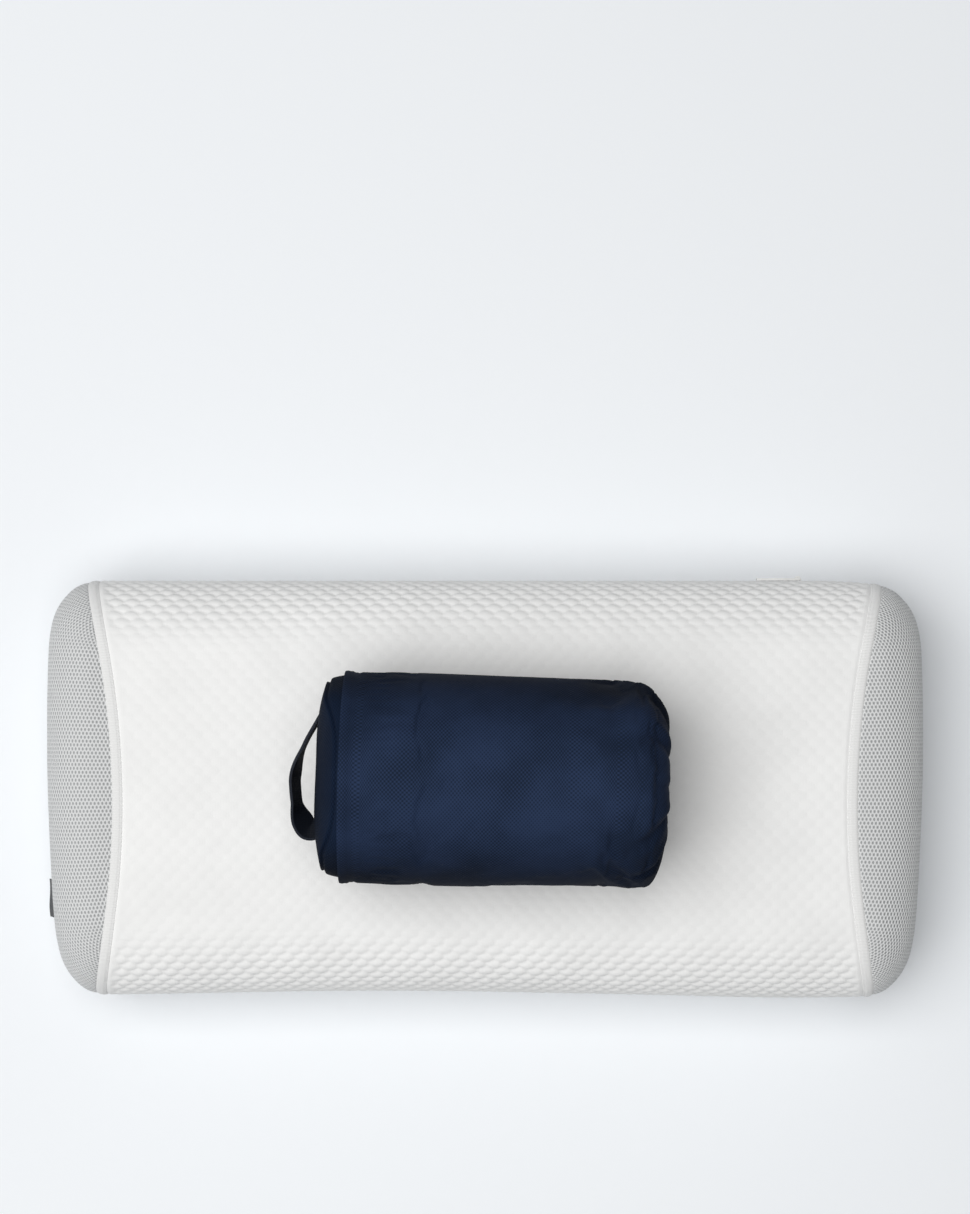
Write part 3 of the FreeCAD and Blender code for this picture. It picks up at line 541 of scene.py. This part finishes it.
def label_vertex(share_y, share_loop):
    """A corner of the folded tape: down its outer layer, round the fold and up its inner one."""
    y = LABEL_LOW.y + share_y * (LABEL_HIGH.y - LABEL_LOW.y)
    drop = min(share_loop, 1 - share_loop) * 2
    z = LABEL_HIGH.z - drop * (LABEL_HIGH.z - LABEL_LOW.z)
    fold = math.cos(math.pi * share_loop) * (1 - drop**8)
    curl = LABEL_STAND * drop**1.3 * (1 + 0.1 * math.sin(5 * share_y + 0.6))
    x, y, z, normal = over_end(y, z - face_middle)
    lift = MESH_BULGE * 0.6 + 0.8 * MM + 0.55 * MM * fold + curl
    return settle(Vector((-x, y, z)) + Vector((-normal.x, normal.y, normal.z)) * lift)


label = new_piece("folded_side_label", label_vertex, 20, 36)
thick = label.modifiers.new("thick", "SOLIDIFY")
thick.thickness = LABEL_THICKNESS
thick.offset = 0
bpy.ops.object.modifier_apply(modifier="thick")
weld(label, 0.01 * MM)
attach(label, "pillow")
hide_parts("side_label")

# Taffeta-woven polyester, charcoal: hard flat threads with a faint satin shine.
label_cloth, tree, shader = new_finish("taffeta_label_tape", Roughness=0.55, Specular_IOR_Level=0.35)
place = add_node(tree, "TexCoord")
scaled = add_node(tree, "Mapping", {"Vector": place.outputs["Object"], "Scale": (1 / LABEL_THREAD,) * 3})
threads = add_node(tree, "TexChecker", {"Vector": scaled.outputs["Vector"], "Scale": 1.0})
threads.inputs["Color1"].default_value = linear("#34363a")
threads.inputs["Color2"].default_value = linear("#232528")
tree.links.new(threads.outputs["Color"], shader.inputs["Base Color"])
emboss(tree, shader, threads.outputs["Fac"], 0.05 * MM)
dress(label, label_cloth)


# ---------------------------------------------------------------- zip
# A number 5 nylon coil zip lets the cover off its foam.  Each side is a monofilament coiled into loops
# and sewn to the edge of a woven tape.  The slider and its pull are die-cast, the stops pressed on.
COIL_PITCH = 1.6 * MM
COIL_WIRE = 0.36 * MM
COIL_REACH = 1.6 * MM
COIL_START = -186.8 * MM
COIL_HEIGHTS = {"upper": 42.25 * MM, "lower": 39.75 * MM}
coil_count = round(-2 * COIL_START / COIL_PITCH)
coil_y = (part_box("zip_chain_upper")[0][1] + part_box("zip_chain_upper")[1][1]) / 2


def coil(name, z, start):
    """A row of coil loops along the tape's edge, one loop repeated."""
    bpy.ops.object.select_all(action="DESELECT")
    bpy.ops.mesh.primitive_torus_add(
        major_radius=1 * MM, minor_radius=COIL_WIRE, major_segments=10, minor_segments=5
    )
    row = bpy.context.object
    row.name = row.data.name = name
    bpy.ops.object.mode_set(mode="EDIT")
    bpy.ops.transform.resize(value=(0.85, COIL_REACH / MM, 1))
    bpy.ops.transform.rotate(value=math.pi / 2, orient_axis="Y", center_override=(0, 0, 0))
    bpy.ops.transform.rotate(value=math.pi / 2, orient_axis="X", center_override=(0, 0, 0))
    bpy.ops.transform.translate(value=(start, coil_y, z))
    bpy.ops.object.mode_set(mode="OBJECT")
    bpy.ops.object.shade_smooth()
    repeat = row.modifiers.new("loops", "ARRAY")
    repeat.use_relative_offset = False
    repeat.use_constant_offset = True
    repeat.constant_offset_displace = (COIL_PITCH, 0, 0)
    repeat.count = coil_count
    bpy.ops.object.modifier_apply(modifier="loops")
    return row


# Nylon 6 monofilament, dyed white: smooth and slightly waxy.
nylon_wire, tree, shader = new_finish("nylon_monofilament", Roughness=0.35, IOR=1.53)
place = add_node(tree, "TexCoord")
tint = add_node(tree, "TexNoise", {"Vector": place.outputs["Object"], "Scale": 180.0})
two_tone(tree, shader, tint.outputs["Fac"], "#dededc", "#f0f0ee")

# Woven polyester zip tape, white: a dense herringbone, drawn as slanting ribs 0.9 mm apart so that
# they show.
TAPE_RIB = 0.9 * MM
zip_tape, tree, shader = new_finish("woven_zip_tape", Roughness=0.85, Specular_IOR_Level=0.3)
place = add_node(tree, "TexCoord")
ribs = add_node(
    tree,
    "TexWave",
    {"Vector": place.outputs["Object"], "Scale": 1 / (math.pi * TAPE_RIB), "Distortion": 0.3},
    bands_direction="DIAGONAL",
)
two_tone(tree, shader, ribs.outputs["Fac"], "#e2e2e0", "#f3f3f1")
emboss(tree, shader, ribs.outputs["Fac"], 0.1 * MM)

# Die-cast zinc with bright nickel plating, handled: fine scratches roughen it in places.
zinc, tree, shader = new_finish("nickel_plated_zinc", Metallic=1.0)
shader.inputs["Base Color"].default_value = linear("#c9c8c4")
place = add_node(tree, "TexCoord")
scaled = add_node(tree, "Mapping", {"Vector": place.outputs["Object"], "Scale": (250, 2500, 2500)})
scratches = add_node(tree, "TexNoise", {"Vector": scaled.outputs["Vector"], "Scale": 1.0, "Detail": 4.0})
worn = add_node(tree, "MapRange", {"Value": scratches.outputs["Fac"], "To Min": 0.16, "To Max": 0.42})
tree.links.new(worn.outputs["Result"], shader.inputs["Roughness"])
emboss(tree, shader, scratches.outputs["Fac"], 0.02 * MM)

# White stoved lacquer over the same zinc, on the slider and its pull: glossy, with a slight orange
# peel.
lacquer, tree, shader = new_finish("white_lacquered_zinc", Roughness=0.3, Coat_Weight=0.3)
place = add_node(tree, "TexCoord")
peel = add_node(tree, "TexNoise", {"Vector": place.outputs["Object"], "Scale": 900.0, "Detail": 2.0})
two_tone(tree, shader, peel.outputs["Fac"], "#e6e6e4", "#f2f2f0")
emboss(tree, shader, peel.outputs["Fac"], 0.02 * MM)

for name, start in (("upper", COIL_START), ("lower", COIL_START + COIL_PITCH / 2)):
    row = coil(f"zip_coil_{name}", COIL_HEIGHTS[name], start)
    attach(row, "pillow")
    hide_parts(f"zip_chain_{name}")
    dress(row, nylon_wire)
    dress(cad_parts[f"zip_tape_{name}"], zip_tape)
for name in ("zip_slider", "zip_pull"):
    dress(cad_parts[name], lacquer)
for name in ("zip_top_stops", "zip_bottom_stop"):
    dress(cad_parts[name], zinc)


# ---------------------------------------------------------------- carry bag's tube
# The bag is a tube of navy nylon twill, sewn to a bottom panel at its left end and drawn in at its
# mouth.  The rolled pillow inside fills it out, and it lies a little flattened on the pillow.  A pleat
# is its angle from the top and its width, both in degrees, and its depth in millimetres.
BAG_RADIUS = 56 * MM
BAG_REST = 52 * MM
REST_CORNER = 1.2 * MM
RIM_WIDTH = 4 * MM
RIM_RISE = 0.8 * MM
BAG_TURN = math.radians(-1.75)
PLEATS = ((27, 5, 2.6), (66, 6, 2.2), (101, 5, 2.0), (139, 6, 1.6), (-5, 4, 1.2), (-31, 5, 2.6))
PLEATS += ((-57, 5, 2.4), (-104, 6, 2.0), (-130, 5, 1.8), (-160, 6, 1.2), (172, 5, 1.0))

rim_low, rim_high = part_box("bag_rim_binding")
rim_middle = (rim_low + rim_high) / 2
bag_frame = Matrix.Translation((rim_middle.x, rim_middle.y, rim_high.z - BAG_RADIUS - RIM_RISE))
bag_frame = bag_frame @ Matrix.Rotation(BAG_TURN, 4, "Z") @ Matrix.Translation((-RIM_WIDTH / 2, 0, 0))


def curve_point(points, share):
    """A point on a smooth curve through points, at a share of the way from first to last."""
    steps = [0.0]
    for one, two in zip(points, points[1:]):
        steps.append(steps[-1] + (Vector(two) - Vector(one)).length)
    at = min(max(share, 0.0), 1.0) * steps[-1]
    i = max(k for k in range(len(points) - 1) if steps[k] <= at)
    part = (at - steps[i]) / (steps[i + 1] - steps[i])
    a, b, c, d = (Vector(points[min(max(i + k, 0), len(points) - 1)]) for k in (-1, 0, 1, 2))
    slope_b, slope_c = (c - a) / 2, (d - b) / 2
    return (
        b * (2 * part**3 - 3 * part**2 + 1)
        + slope_b * (part**3 - 2 * part**2 + part)
        + c * (3 * part**2 - 2 * part**3)
        + slope_c * (part**3 - part**2)
    )


def rest_on_pillow(z):
    """Flattens what would hang below the height that the bag rests at, with a soft corner."""
    over = z + BAG_REST + REST_CORNER
    if over > 2 * REST_CORNER:
        return z
    return -BAG_REST + max(over, 0.0) ** 2 / (4 * REST_CORNER)


# Profile of the tube in millimetres, along the bag and out from its middle line, and the squarer one
# of its front corner.
TUBE_PROFILE = (
    *((0.2, 55), (0.1, 57.6), (1.2, 58.1), (3.9, 57.9), (5.4, 57.1), (12, 57.2), (40, 57.2)),
    *((80, 56.9), (120, 56.4), (145, 55.6), (157, 54.6), (163, 53.2), (168, 50), (172, 45.5)),
    *((174.8, 40), (176, 33), (175.6, 27), (174, 22), (172.6, 19.4)),
)
SQUARE_PROFILE = (
    *TUBE_PROFILE[:8],
    *((120, 56.2), (145, 55), (158, 54), (165, 53.2), (169.4, 51.4), (172, 47.5), (174.2, 41)),
    *((175.6, 34), *TUBE_PROFILE[-3:]),
)
SEAM_DEPTH = 0.55
CLOTH_LENGTH = 240 * MM
CLOTH_STEPS = 20


def tube_vertex(share_around, share_along):
    """A corner of the tube's cloth, with gathers that deepen towards the mouth."""
    angle = share_around * 360
    turn = math.radians(angle)
    round_side = curve_point(TUBE_PROFILE, share_along)
    square_side = curve_point(SQUARE_PROFILE, share_along)
    x, radius = round_side.lerp(square_side, ease(-math.sin(turn), 0.35, 0.9))
    deep = ease(x, 138, 172)
    low = ease(x, 171, 174) * ease(-radius, -40, -22)
    push = 0.0
    for middle, width, depth in PLEATS:
        away = (angle - middle + 180) % 360 - 180
        bend = away - 5 * math.sin(x / 9 + middle)
        push += depth * (0.55 * hump(bend, 1.7 * width, width) - hump(bend, 0, width))
    wave = math.sin(3 * turn + x / 31) + 0.7 * math.sin(5 * turn - x / 22 + 1)
    radius += push * deep * (1 - 0.55 * low) + 0.35 * wave * ease(x, 6, 40) * (1 - deep)
    for seam in (2.4, 8.2):
        radius -= SEAM_DEPTH * hump(x, seam, 0.7)
    x += 0.5 * push * deep * ease(-radius, -52, -38) * (1 - 0.6 * low)
    z = rest_on_pillow(radius * math.cos(turn) * MM)
    return bag_frame @ Vector((x * MM, radius * math.sin(turn) * MM, z))


def fill_out(piece, held, pressure, slack, cap):
    """Swells a piece of cloth by simulation, with a slack that is a share of its size.

    held says how firmly a place in the bag is held, from 0 to 1, and cap how far it may move.
    """
    start = [vertex.co.copy() for vertex in piece.data.vertices]
    group = piece.vertex_groups.new(name="held")
    for vertex in piece.data.vertices:
        group.add([vertex.index], held(bag_frame.inverted() @ vertex.co), "REPLACE")
    cloth = piece.modifiers.new("cloth", "CLOTH")
    cloth.settings.vertex_group_mass = "held"
    cloth.settings.quality = 6
    cloth.settings.mass = 0.15
    cloth.settings.tension_stiffness = 25
    cloth.settings.compression_stiffness = 25
    cloth.settings.bending_stiffness = 0.4
    cloth.settings.shrink_min = -slack
    cloth.settings.use_pressure = True
    cloth.settings.uniform_pressure_force = pressure
    cloth.settings.effector_weights.gravity = 0
    cloth.point_cache.frame_end = CLOTH_STEPS
    for step in range(1, CLOTH_STEPS + 1):
        bpy.context.scene.frame_set(step)
    bpy.ops.object.modifier_apply(modifier="cloth")
    bpy.context.scene.frame_set(1)
    piece.vertex_groups.clear()
    for vertex, before in zip(piece.data.vertices, start):
        move = vertex.co - before
        most = cap(bag_frame.inverted() @ before)
        if move.length > most:
            move *= most / move.length
        place = bag_frame.inverted() @ (before + move)
        place.z = max(place.z, -BAG_REST)
        vertex.co = bag_frame @ place


tube = new_piece("bag_tube_cloth", tube_vertex, 190, 150)
weld(tube, 0.02 * MM)
fill_out(
    tube,
    held=lambda at: 1 - ease(at.x, 9 * MM, 25 * MM) * (1 - ease(at.x, 166 * MM, 174 * MM)),
    pressure=3.0,
    slack=0.025,
    cap=lambda at: (0.7 + 2.1 * ease(at.x, 118 * MM, 158 * MM)) * MM,
)
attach(tube, "bag")
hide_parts("bag_tube", "bag_rim_binding")

# Nylon twill, navy, with a thin coating inside: matt, with slanting rows of threads, and painted shade
# that darkens it lower down the bag.  The real threads are 0.3 mm apart, and are drawn 1.1 mm apart so
# that they show.
TWILL_PITCH = 2.2 * MM
PAINTED_SHADE_LOW = rim_high.z - 0.65 * BAG_RADIUS
PAINTED_SHADE_HIGH = rim_high.z
SHADED_BOTTOM_SHARE = 0.36


def twill(name, dark, light, across, along):
    """The bag's nylon on a piece whose UV map spans across by along metres."""
    material, tree, shader = new_finish(name, Roughness=0.75, Specular_IOR_Level=0.04)
    place = add_node(tree, "UVMap")
    flat = add_node(tree, "SeparateXYZ", {"Vector": place.outputs["UV"]})
    waves = []
    for axis, span in (("X", across), ("Y", along)):
        turn = 2 * math.pi * round(span / TWILL_PITCH)
        turned = add_node(tree, "Math", {0: flat.outputs[axis], 1: turn}, operation="MULTIPLY")
        waves.append(add_node(tree, "Math", {0: turned.outputs[0]}, operation="SINE").outputs[0])
    threads = add_node(tree, "Math", {0: waves[0], 1: waves[1]}, operation="MULTIPLY")
    where = add_node(tree, "TexCoord")
    fade = add_node(tree, "TexNoise", {"Vector": where.outputs["Object"], "Scale": 28.0, "Detail": 4.0})
    blend = {0: threads.outputs[0], 1: 0.3, 2: fade.outputs["Fac"]}
    tone = add_node(tree, "Math", blend, operation="MULTIPLY_ADD")
    shade = add_node(tree, "ValToRGB", {"Fac": tone.outputs[0]})
    shade.color_ramp.elements[0].position = 0.25
    shade.color_ramp.elements[0].color = linear(dark)
    shade.color_ramp.elements[1].position = 0.75
    shade.color_ramp.elements[1].color = linear(light)
    # Painted shade: the colour is scaled down lower on the bag, to 0.36 of it at and below the lower
    # height, so that its sides and underside look shaded.
    place = add_node(tree, "SeparateXYZ", {"Vector": where.outputs["Object"]})
    span = {"From Min": PAINTED_SHADE_LOW, "From Max": PAINTED_SHADE_HIGH, "To Min": SHADED_BOTTOM_SHARE, "To Max": 1.0}
    painted_shade = add_node(tree, "MapRange", {"Value": place.outputs["Z"], **span})
    strength = {0: shade.outputs["Color"], "Scale": painted_shade.outputs["Result"]}
    shaded_base_colour = add_node(tree, "VectorMath", strength, operation="SCALE")
    tree.links.new(shaded_base_colour.outputs["Vector"], shader.inputs["Base Color"])
    emboss(tree, shader, threads.outputs[0], 0.07 * MM)
    return material


dress(tube, twill("nylon_twill_tube", "#182233", "#2a3854", 2 * math.pi * BAG_RADIUS, CLOTH_LENGTH))


# ---------------------------------------------------------------- carry bag's bottom panel
# A round panel of the same twill closes the left end.  The roll pushes it out into a shallow dome, and
# it turns over the roll's edge to the rim, where the tube's folded edge is stitched down on it.
PANEL_BULGE = 14.2
PANEL_SEAM = 52.6
PANEL_MIDDLE_GIRTH = 2 * math.pi * 40 * MM
PANEL_REACH = 70 * MM


def panel_vertex(share_around, share_out):
    """A corner of the panel: its dome, the sunken seam round it and the short wall up to the rim."""
    angle = 2 * math.pi * share_around
    sideways = 1 - math.cos(angle)
    seam_at = -1.8 - 7.6 * ease(sideways, 0.0, 0.45) + 1.5 * max(sideways - 1.0, 0.0)
    if share_out < 0.8:
        out = share_out / 0.8
        radius = PANEL_SEAM * (1 - (1 - out) ** 1.25)
        x = -PANEL_BULGE + (PANEL_BULGE + seam_at) * (radius / PANEL_SEAM) ** 3.4
        x += 0.5 * math.sin(3 * angle + 0.8) * (radius / PANEL_SEAM) ** 2 * (1 - radius / PANEL_SEAM) * 4
    else:
        out = (share_out - 0.8) / 0.2
        radius = PANEL_SEAM + 2.4 * math.sin(out * math.pi / 2)
        x = seam_at + (3.0 - seam_at) * out
    sunk = hump(share_out, 0.8, 0.025)
    radius -= 1.6 * sunk
    x += 1.3 * sunk
    pull = 0.35 * math.sin(9 * angle + 1) + 0.25 * math.sin(14 * angle)
    radius += pull * ease(share_out, 0.55, 0.95)
    z = rest_on_pillow(radius * math.cos(angle) * MM)
    return bag_frame @ Vector((x * MM, radius * math.sin(angle) * MM, z))


panel = new_piece("bag_bottom_panel", panel_vertex, 220, 90)
weld(panel, 0.02 * MM)
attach(panel, "bag")
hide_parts("bag_end_panel")
# Painted shade: the panel's twill takes darker colours than the tube's.
dress(panel, twill("shaded_nylon_twill_panel", "#101a2c", "#1b2940", PANEL_MIDDLE_GIRTH, PANEL_REACH))


# ---------------------------------------------------------------- mouth of the bag
# The mouth's folded hem is puckered on a round drawstring, which comes out through two eyelets and runs
# through a spring-loaded cord lock.  The cord and the lock are as packed, and the spring is a copy of
# the imported one.
HEM_X = 170.5
HEM_RADIUS = 18.0
HEM_THICK = 4.2
HEM_GIRTHS = (2 * math.pi * HEM_RADIUS * MM, 2 * math.pi * HEM_THICK * MM)
PUCKERS = 23


def hem_vertex(share_around, share_turn):
    """A corner of the puckered hem."""
    angle = 2 * math.pi * share_around
    turn = 2 * math.pi * share_turn
    pucker = math.cos(PUCKERS * angle + 0.8 * math.sin(3 * angle))
    thick = HEM_THICK + 0.45 * pucker - 0.2
    radius = HEM_RADIUS + thick * math.cos(turn)
    x = HEM_X + thick * math.sin(turn) + 0.25 * math.sin(2 * angle)
    return bag_frame @ (Vector((x, radius * math.sin(angle), radius * math.cos(angle))) * MM)


hem = new_piece("puckered_mouth_hem", hem_vertex, 276, 24)
weld(hem, 0.01 * MM)
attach(hem, "bag")
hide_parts("mouth_hem")
# Painted shade: the hem's twill takes the panel's darker colours rather than the tube's.
dress(hem, twill("shaded_nylon_twill_hem", "#101a2c", "#1b2940", *HEM_GIRTHS))

# Braided polyester cord, black-navy: crossing strands that shine a little.
BRAID_PITCH = 1.2 * MM
braid, tree, shader = new_finish("braided_polyester_cord", Roughness=0.6, Specular_IOR_Level=0.4)
place = add_node(tree, "TexCoord")
scaled = add_node(tree, "Mapping", {"Vector": place.outputs["Object"], "Scale": (1 / BRAID_PITCH,) * 3})
strands = add_node(
    tree, "TexVoronoi", {"Vector": scaled.outputs["Vector"], "Scale": 1.0, "Randomness": 0.25}
)
two_tone(tree, shader, strands.outputs["Distance"], "#232a38", "#0c1018")
emboss(tree, shader, strands.outputs["Distance"], 0.2 * MM, invert=True)
dress(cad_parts["drawstring"], braid)

# Pressed brass eyelets under black enamel, worn to the metal in specks.
enamel, tree, shader = new_finish("black_enamelled_brass", Roughness=0.3)
place = add_node(tree, "TexCoord")
specks = add_node(tree, "TexNoise", {"Vector": place.outputs["Object"], "Scale": 700.0, "Detail": 5.0})
two_tone(tree, shader, specks.outputs["Fac"], "#15171b", "#6d5f3f", (0.62, 0.72))
dress(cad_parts["cord_eyelets"], enamel)

# Acetal, moulded in a fine spark-eroded finish: matt black with a soft waxy highlight.
GRAIN = 0.35 * MM
acetal, tree, shader = new_finish("moulded_acetal", Roughness=0.45, IOR=1.48)
place = add_node(tree, "TexCoord")
grain = add_node(tree, "TexNoise", {"Vector": place.outputs["Object"], "Scale": 1 / GRAIN, "Detail": 3.0})
two_tone(tree, shader, grain.outputs["Fac"], "#0e0f12", "#1e2025")
emboss(tree, shader, grain.outputs["Fac"], 0.03 * MM)
for name in ("cord_lock_body", "cord_lock_button"):
    dress(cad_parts[name], acetal)

# Music wire, zinc-plated: bright and faintly streaked along the drawing direction.
wire, tree, shader = new_finish("zinc_plated_music_wire", Metallic=1.0)
shader.inputs["Base Color"].default_value = linear("#b4b6ba")
place = add_node(tree, "TexCoord")
streaks = add_node(tree, "TexNoise", {"Vector": place.outputs["Object"], "Scale": 1500.0, "Detail": 3.0})
worn = add_node(tree, "MapRange", {"Value": streaks.outputs["Fac"], "To Min": 0.22, "To Max": 0.45})
tree.links.new(worn.outputs["Result"], shader.inputs["Roughness"])

# The coil is pressed together between the button's stem and the barrel's floor, which is its fixed end.
spring = bpy.data.objects.new("button_coil_spring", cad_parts["cord_lock_spring"].data.copy())
bpy.context.collection.objects.link(spring)
weld(spring, 0.001 * MM)
dress(spring, wire)
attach(spring, "bag")
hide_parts("cord_lock_spring")
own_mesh(spring)


# ---------------------------------------------------------------- rolled pillow in the bag
# A second pillow of the same kind, rolled up: a strip of foam in a knitted cover, wound two turns.  It
# is four half turns, each about the other of two centres.
ROLL_SPAN = (1.8, 152.2)
ROLL_HALF = 8.2
ROLL_PITCH = 8.5
ROLL_FIRST = 18.2
ROLL_CENTRES = (7.0, -1.5)
ROLL_HEIGHT = -7.6
roll_turns = 4
roll_lengths = [math.pi * (ROLL_FIRST + turn * ROLL_PITCH) for turn in range(roll_turns)]


def roll_vertex(share_strip, share_loop):
    """A corner of the rolled strip's cover: along the spiral, and round the strip's rounded section."""
    at = share_strip * sum(roll_lengths)
    turn = 0
    while turn < roll_turns - 1 and at > roll_lengths[turn]:
        at -= roll_lengths[turn]
        turn += 1
    angle = math.pi * (turn + at / roll_lengths[turn])
    end = min(share_strip, 1 - share_strip) * sum(roll_lengths)
    half = (ROLL_HALF - 0.15) * (1 - (1 - min(end / ROLL_HALF, 1.0)) ** 2) ** 0.5 + 0.02
    loop = 2 * math.pi * share_loop
    along = math.copysign(abs(math.cos(loop)) ** 0.35, math.cos(loop))
    across = math.copysign(abs(math.sin(loop)) ** 0.7, math.sin(loop)) * half
    low, high = ROLL_SPAN
    x = (low + high) / 2 + along * (high - low) / 2
    radius = ROLL_FIRST + turn * ROLL_PITCH + across
    y = ROLL_CENTRES[turn % 2] - radius * math.cos(angle)
    z = ROLL_HEIGHT - radius * math.sin(angle)
    return bag_frame @ (Vector((x, y, z)) * MM)


roll = new_piece("rolled_pillow_cloth", roll_vertex, 260, 40)
weld(roll, 0.02 * MM)
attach(roll, "bag")
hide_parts("rolled_pillow_cover")
dress(roll, jersey)
dress(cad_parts["rolled_foam_core"], foam)


# ---------------------------------------------------------------- carry handle
# A strap of navy webbing 20 mm wide, its ends sewn into the bottom panel.  It stands on its edge at the
# top and tips outwards to a sharp fold where it turns back to the panel.
STRAP_WIDTH = 20.0
STRAP_THICKNESS = 1.5 * MM
STRAP_PATH = (
    *((-8.5, 43.5), (-10.8, 37), (-15.2, 28.5), (-20, 19.4), (-23.8, 9.5), (-25.7, 0), (-25.6, -6.5)),
    *((-24, -17), (-20.8, -25), (-18.6, -28.6), (-16.2, -29.4), (-14, -28.6), (-11.8, -27.2)),
)


def strap_vertex(share_along, share_across):
    """A corner of the strap's middle surface."""
    x, y = curve_point(STRAP_PATH, share_along)
    before, after = (curve_point(STRAP_PATH, share_along + step) for step in (-0.01, 0.01))
    along = Vector((after.x - before.x, after.y - before.y, 0)).normalized()
    outwards = Vector((along.y, -along.x, 0))
    tip = math.radians(11 * ease(share_along, 0.35, 0.55) + 19 * ease(share_along, 0.72, 0.86))
    width = Vector((0, 0, math.cos(tip))) + outwards * math.sin(tip)
    at = Vector((x, y, 0)) + width * (share_across - 0.5) * STRAP_WIDTH
    return bag_frame @ (at * MM)


strap = new_piece("webbing_carry_strap", strap_vertex, 130, 16)
thick = strap.modifiers.new("thick", "SOLIDIFY")
thick.thickness = STRAP_THICKNESS
thick.offset = 0
soft = strap.modifiers.new("soft_edges", "BEVEL")
soft.width = 0.35 * MM
soft.segments = 2
bpy.ops.object.modifier_apply(modifier="thick")
bpy.ops.object.modifier_apply(modifier="soft_edges")
weld(strap, 0.001 * MM)
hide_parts("handle_strap", "handle_anchors")
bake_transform(strap)

# Polypropylene webbing, near black: coarse ribs across the strap, hard and a little glossy.
WEB_RIB = 1.2 * MM
webbing, tree, shader = new_finish("polypropylene_webbing", Roughness=0.6, Specular_IOR_Level=0.15)
place = add_node(tree, "TexCoord")
scaled = add_node(tree, "Mapping", {"Vector": place.outputs["Object"], "Scale": (1 / WEB_RIB,) * 3})
ribs = add_node(tree, "TexVoronoi", {"Vector": scaled.outputs["Vector"], "Scale": 1.0, "Randomness": 0.2})
two_tone(tree, shader, ribs.outputs["Distance"], "#20252f", "#13171f")
emboss(tree, shader, ribs.outputs["Distance"], 0.2 * MM, invert=True)
dress(strap, webbing)


# ---------------------------------------------------------------- floor, light and camera
# A pale seamless table, lit by one wide soft light overhead, a little to the left.
FLOOR_SIZE = 6.0
LIGHT_PLACE = Vector((-0.85, -0.08, 3.2))
LIGHT_SIZE = 3.0
LIGHT_POWER = 114.0
ROOM_LIGHT = 0.13
bpy.ops.object.select_all(action="DESELECT")
bpy.ops.mesh.primitive_plane_add(size=FLOOR_SIZE)
floor = bpy.context.object
floor.name = "floor"
table, tree, shader = new_finish("painted_table", Roughness=0.8)
shader.inputs["Base Color"].default_value = linear("#f4f7fa")
dress(floor, table)

bpy.ops.object.light_add(type="AREA", location=LIGHT_PLACE)
lamp = bpy.context.object
lamp.name = "overhead_softbox"
lamp.data.size = LIGHT_SIZE
lamp.data.energy = LIGHT_POWER
lamp.rotation_euler = (-LIGHT_PLACE).to_track_quat("-Z", "Y").to_euler()
world = bpy.data.worlds.new("studio")
bpy.context.scene.world = world
world.use_nodes = True
world.node_tree.nodes["Background"].inputs["Color"].default_value = linear("#ffffff")
world.node_tree.nodes["Background"].inputs["Strength"].default_value = ROOM_LIGHT

# The camera looks straight down from 1.65 m, with the pillow below the middle of a tall picture that
# takes in 564 mm at the pillow's middle height.
CAMERA_HEIGHT = 1.65
VIEW_WIDTH = 0.56395
VIEW_SHIFT = 0.1866
bpy.ops.object.camera_add(location=(0, 0, CAMERA_HEIGHT), rotation=(0, 0, 0))
camera = bpy.context.object
camera.name = "camera"
camera.data.sensor_fit = "HORIZONTAL"
camera.data.lens = camera.data.sensor_width * (CAMERA_HEIGHT - HEIGHT / 2) / VIEW_WIDTH
camera.data.shift_y = VIEW_SHIFT
bpy.context.scene.camera = camera
bpy.context.scene.view_settings.view_transform = "Standard"
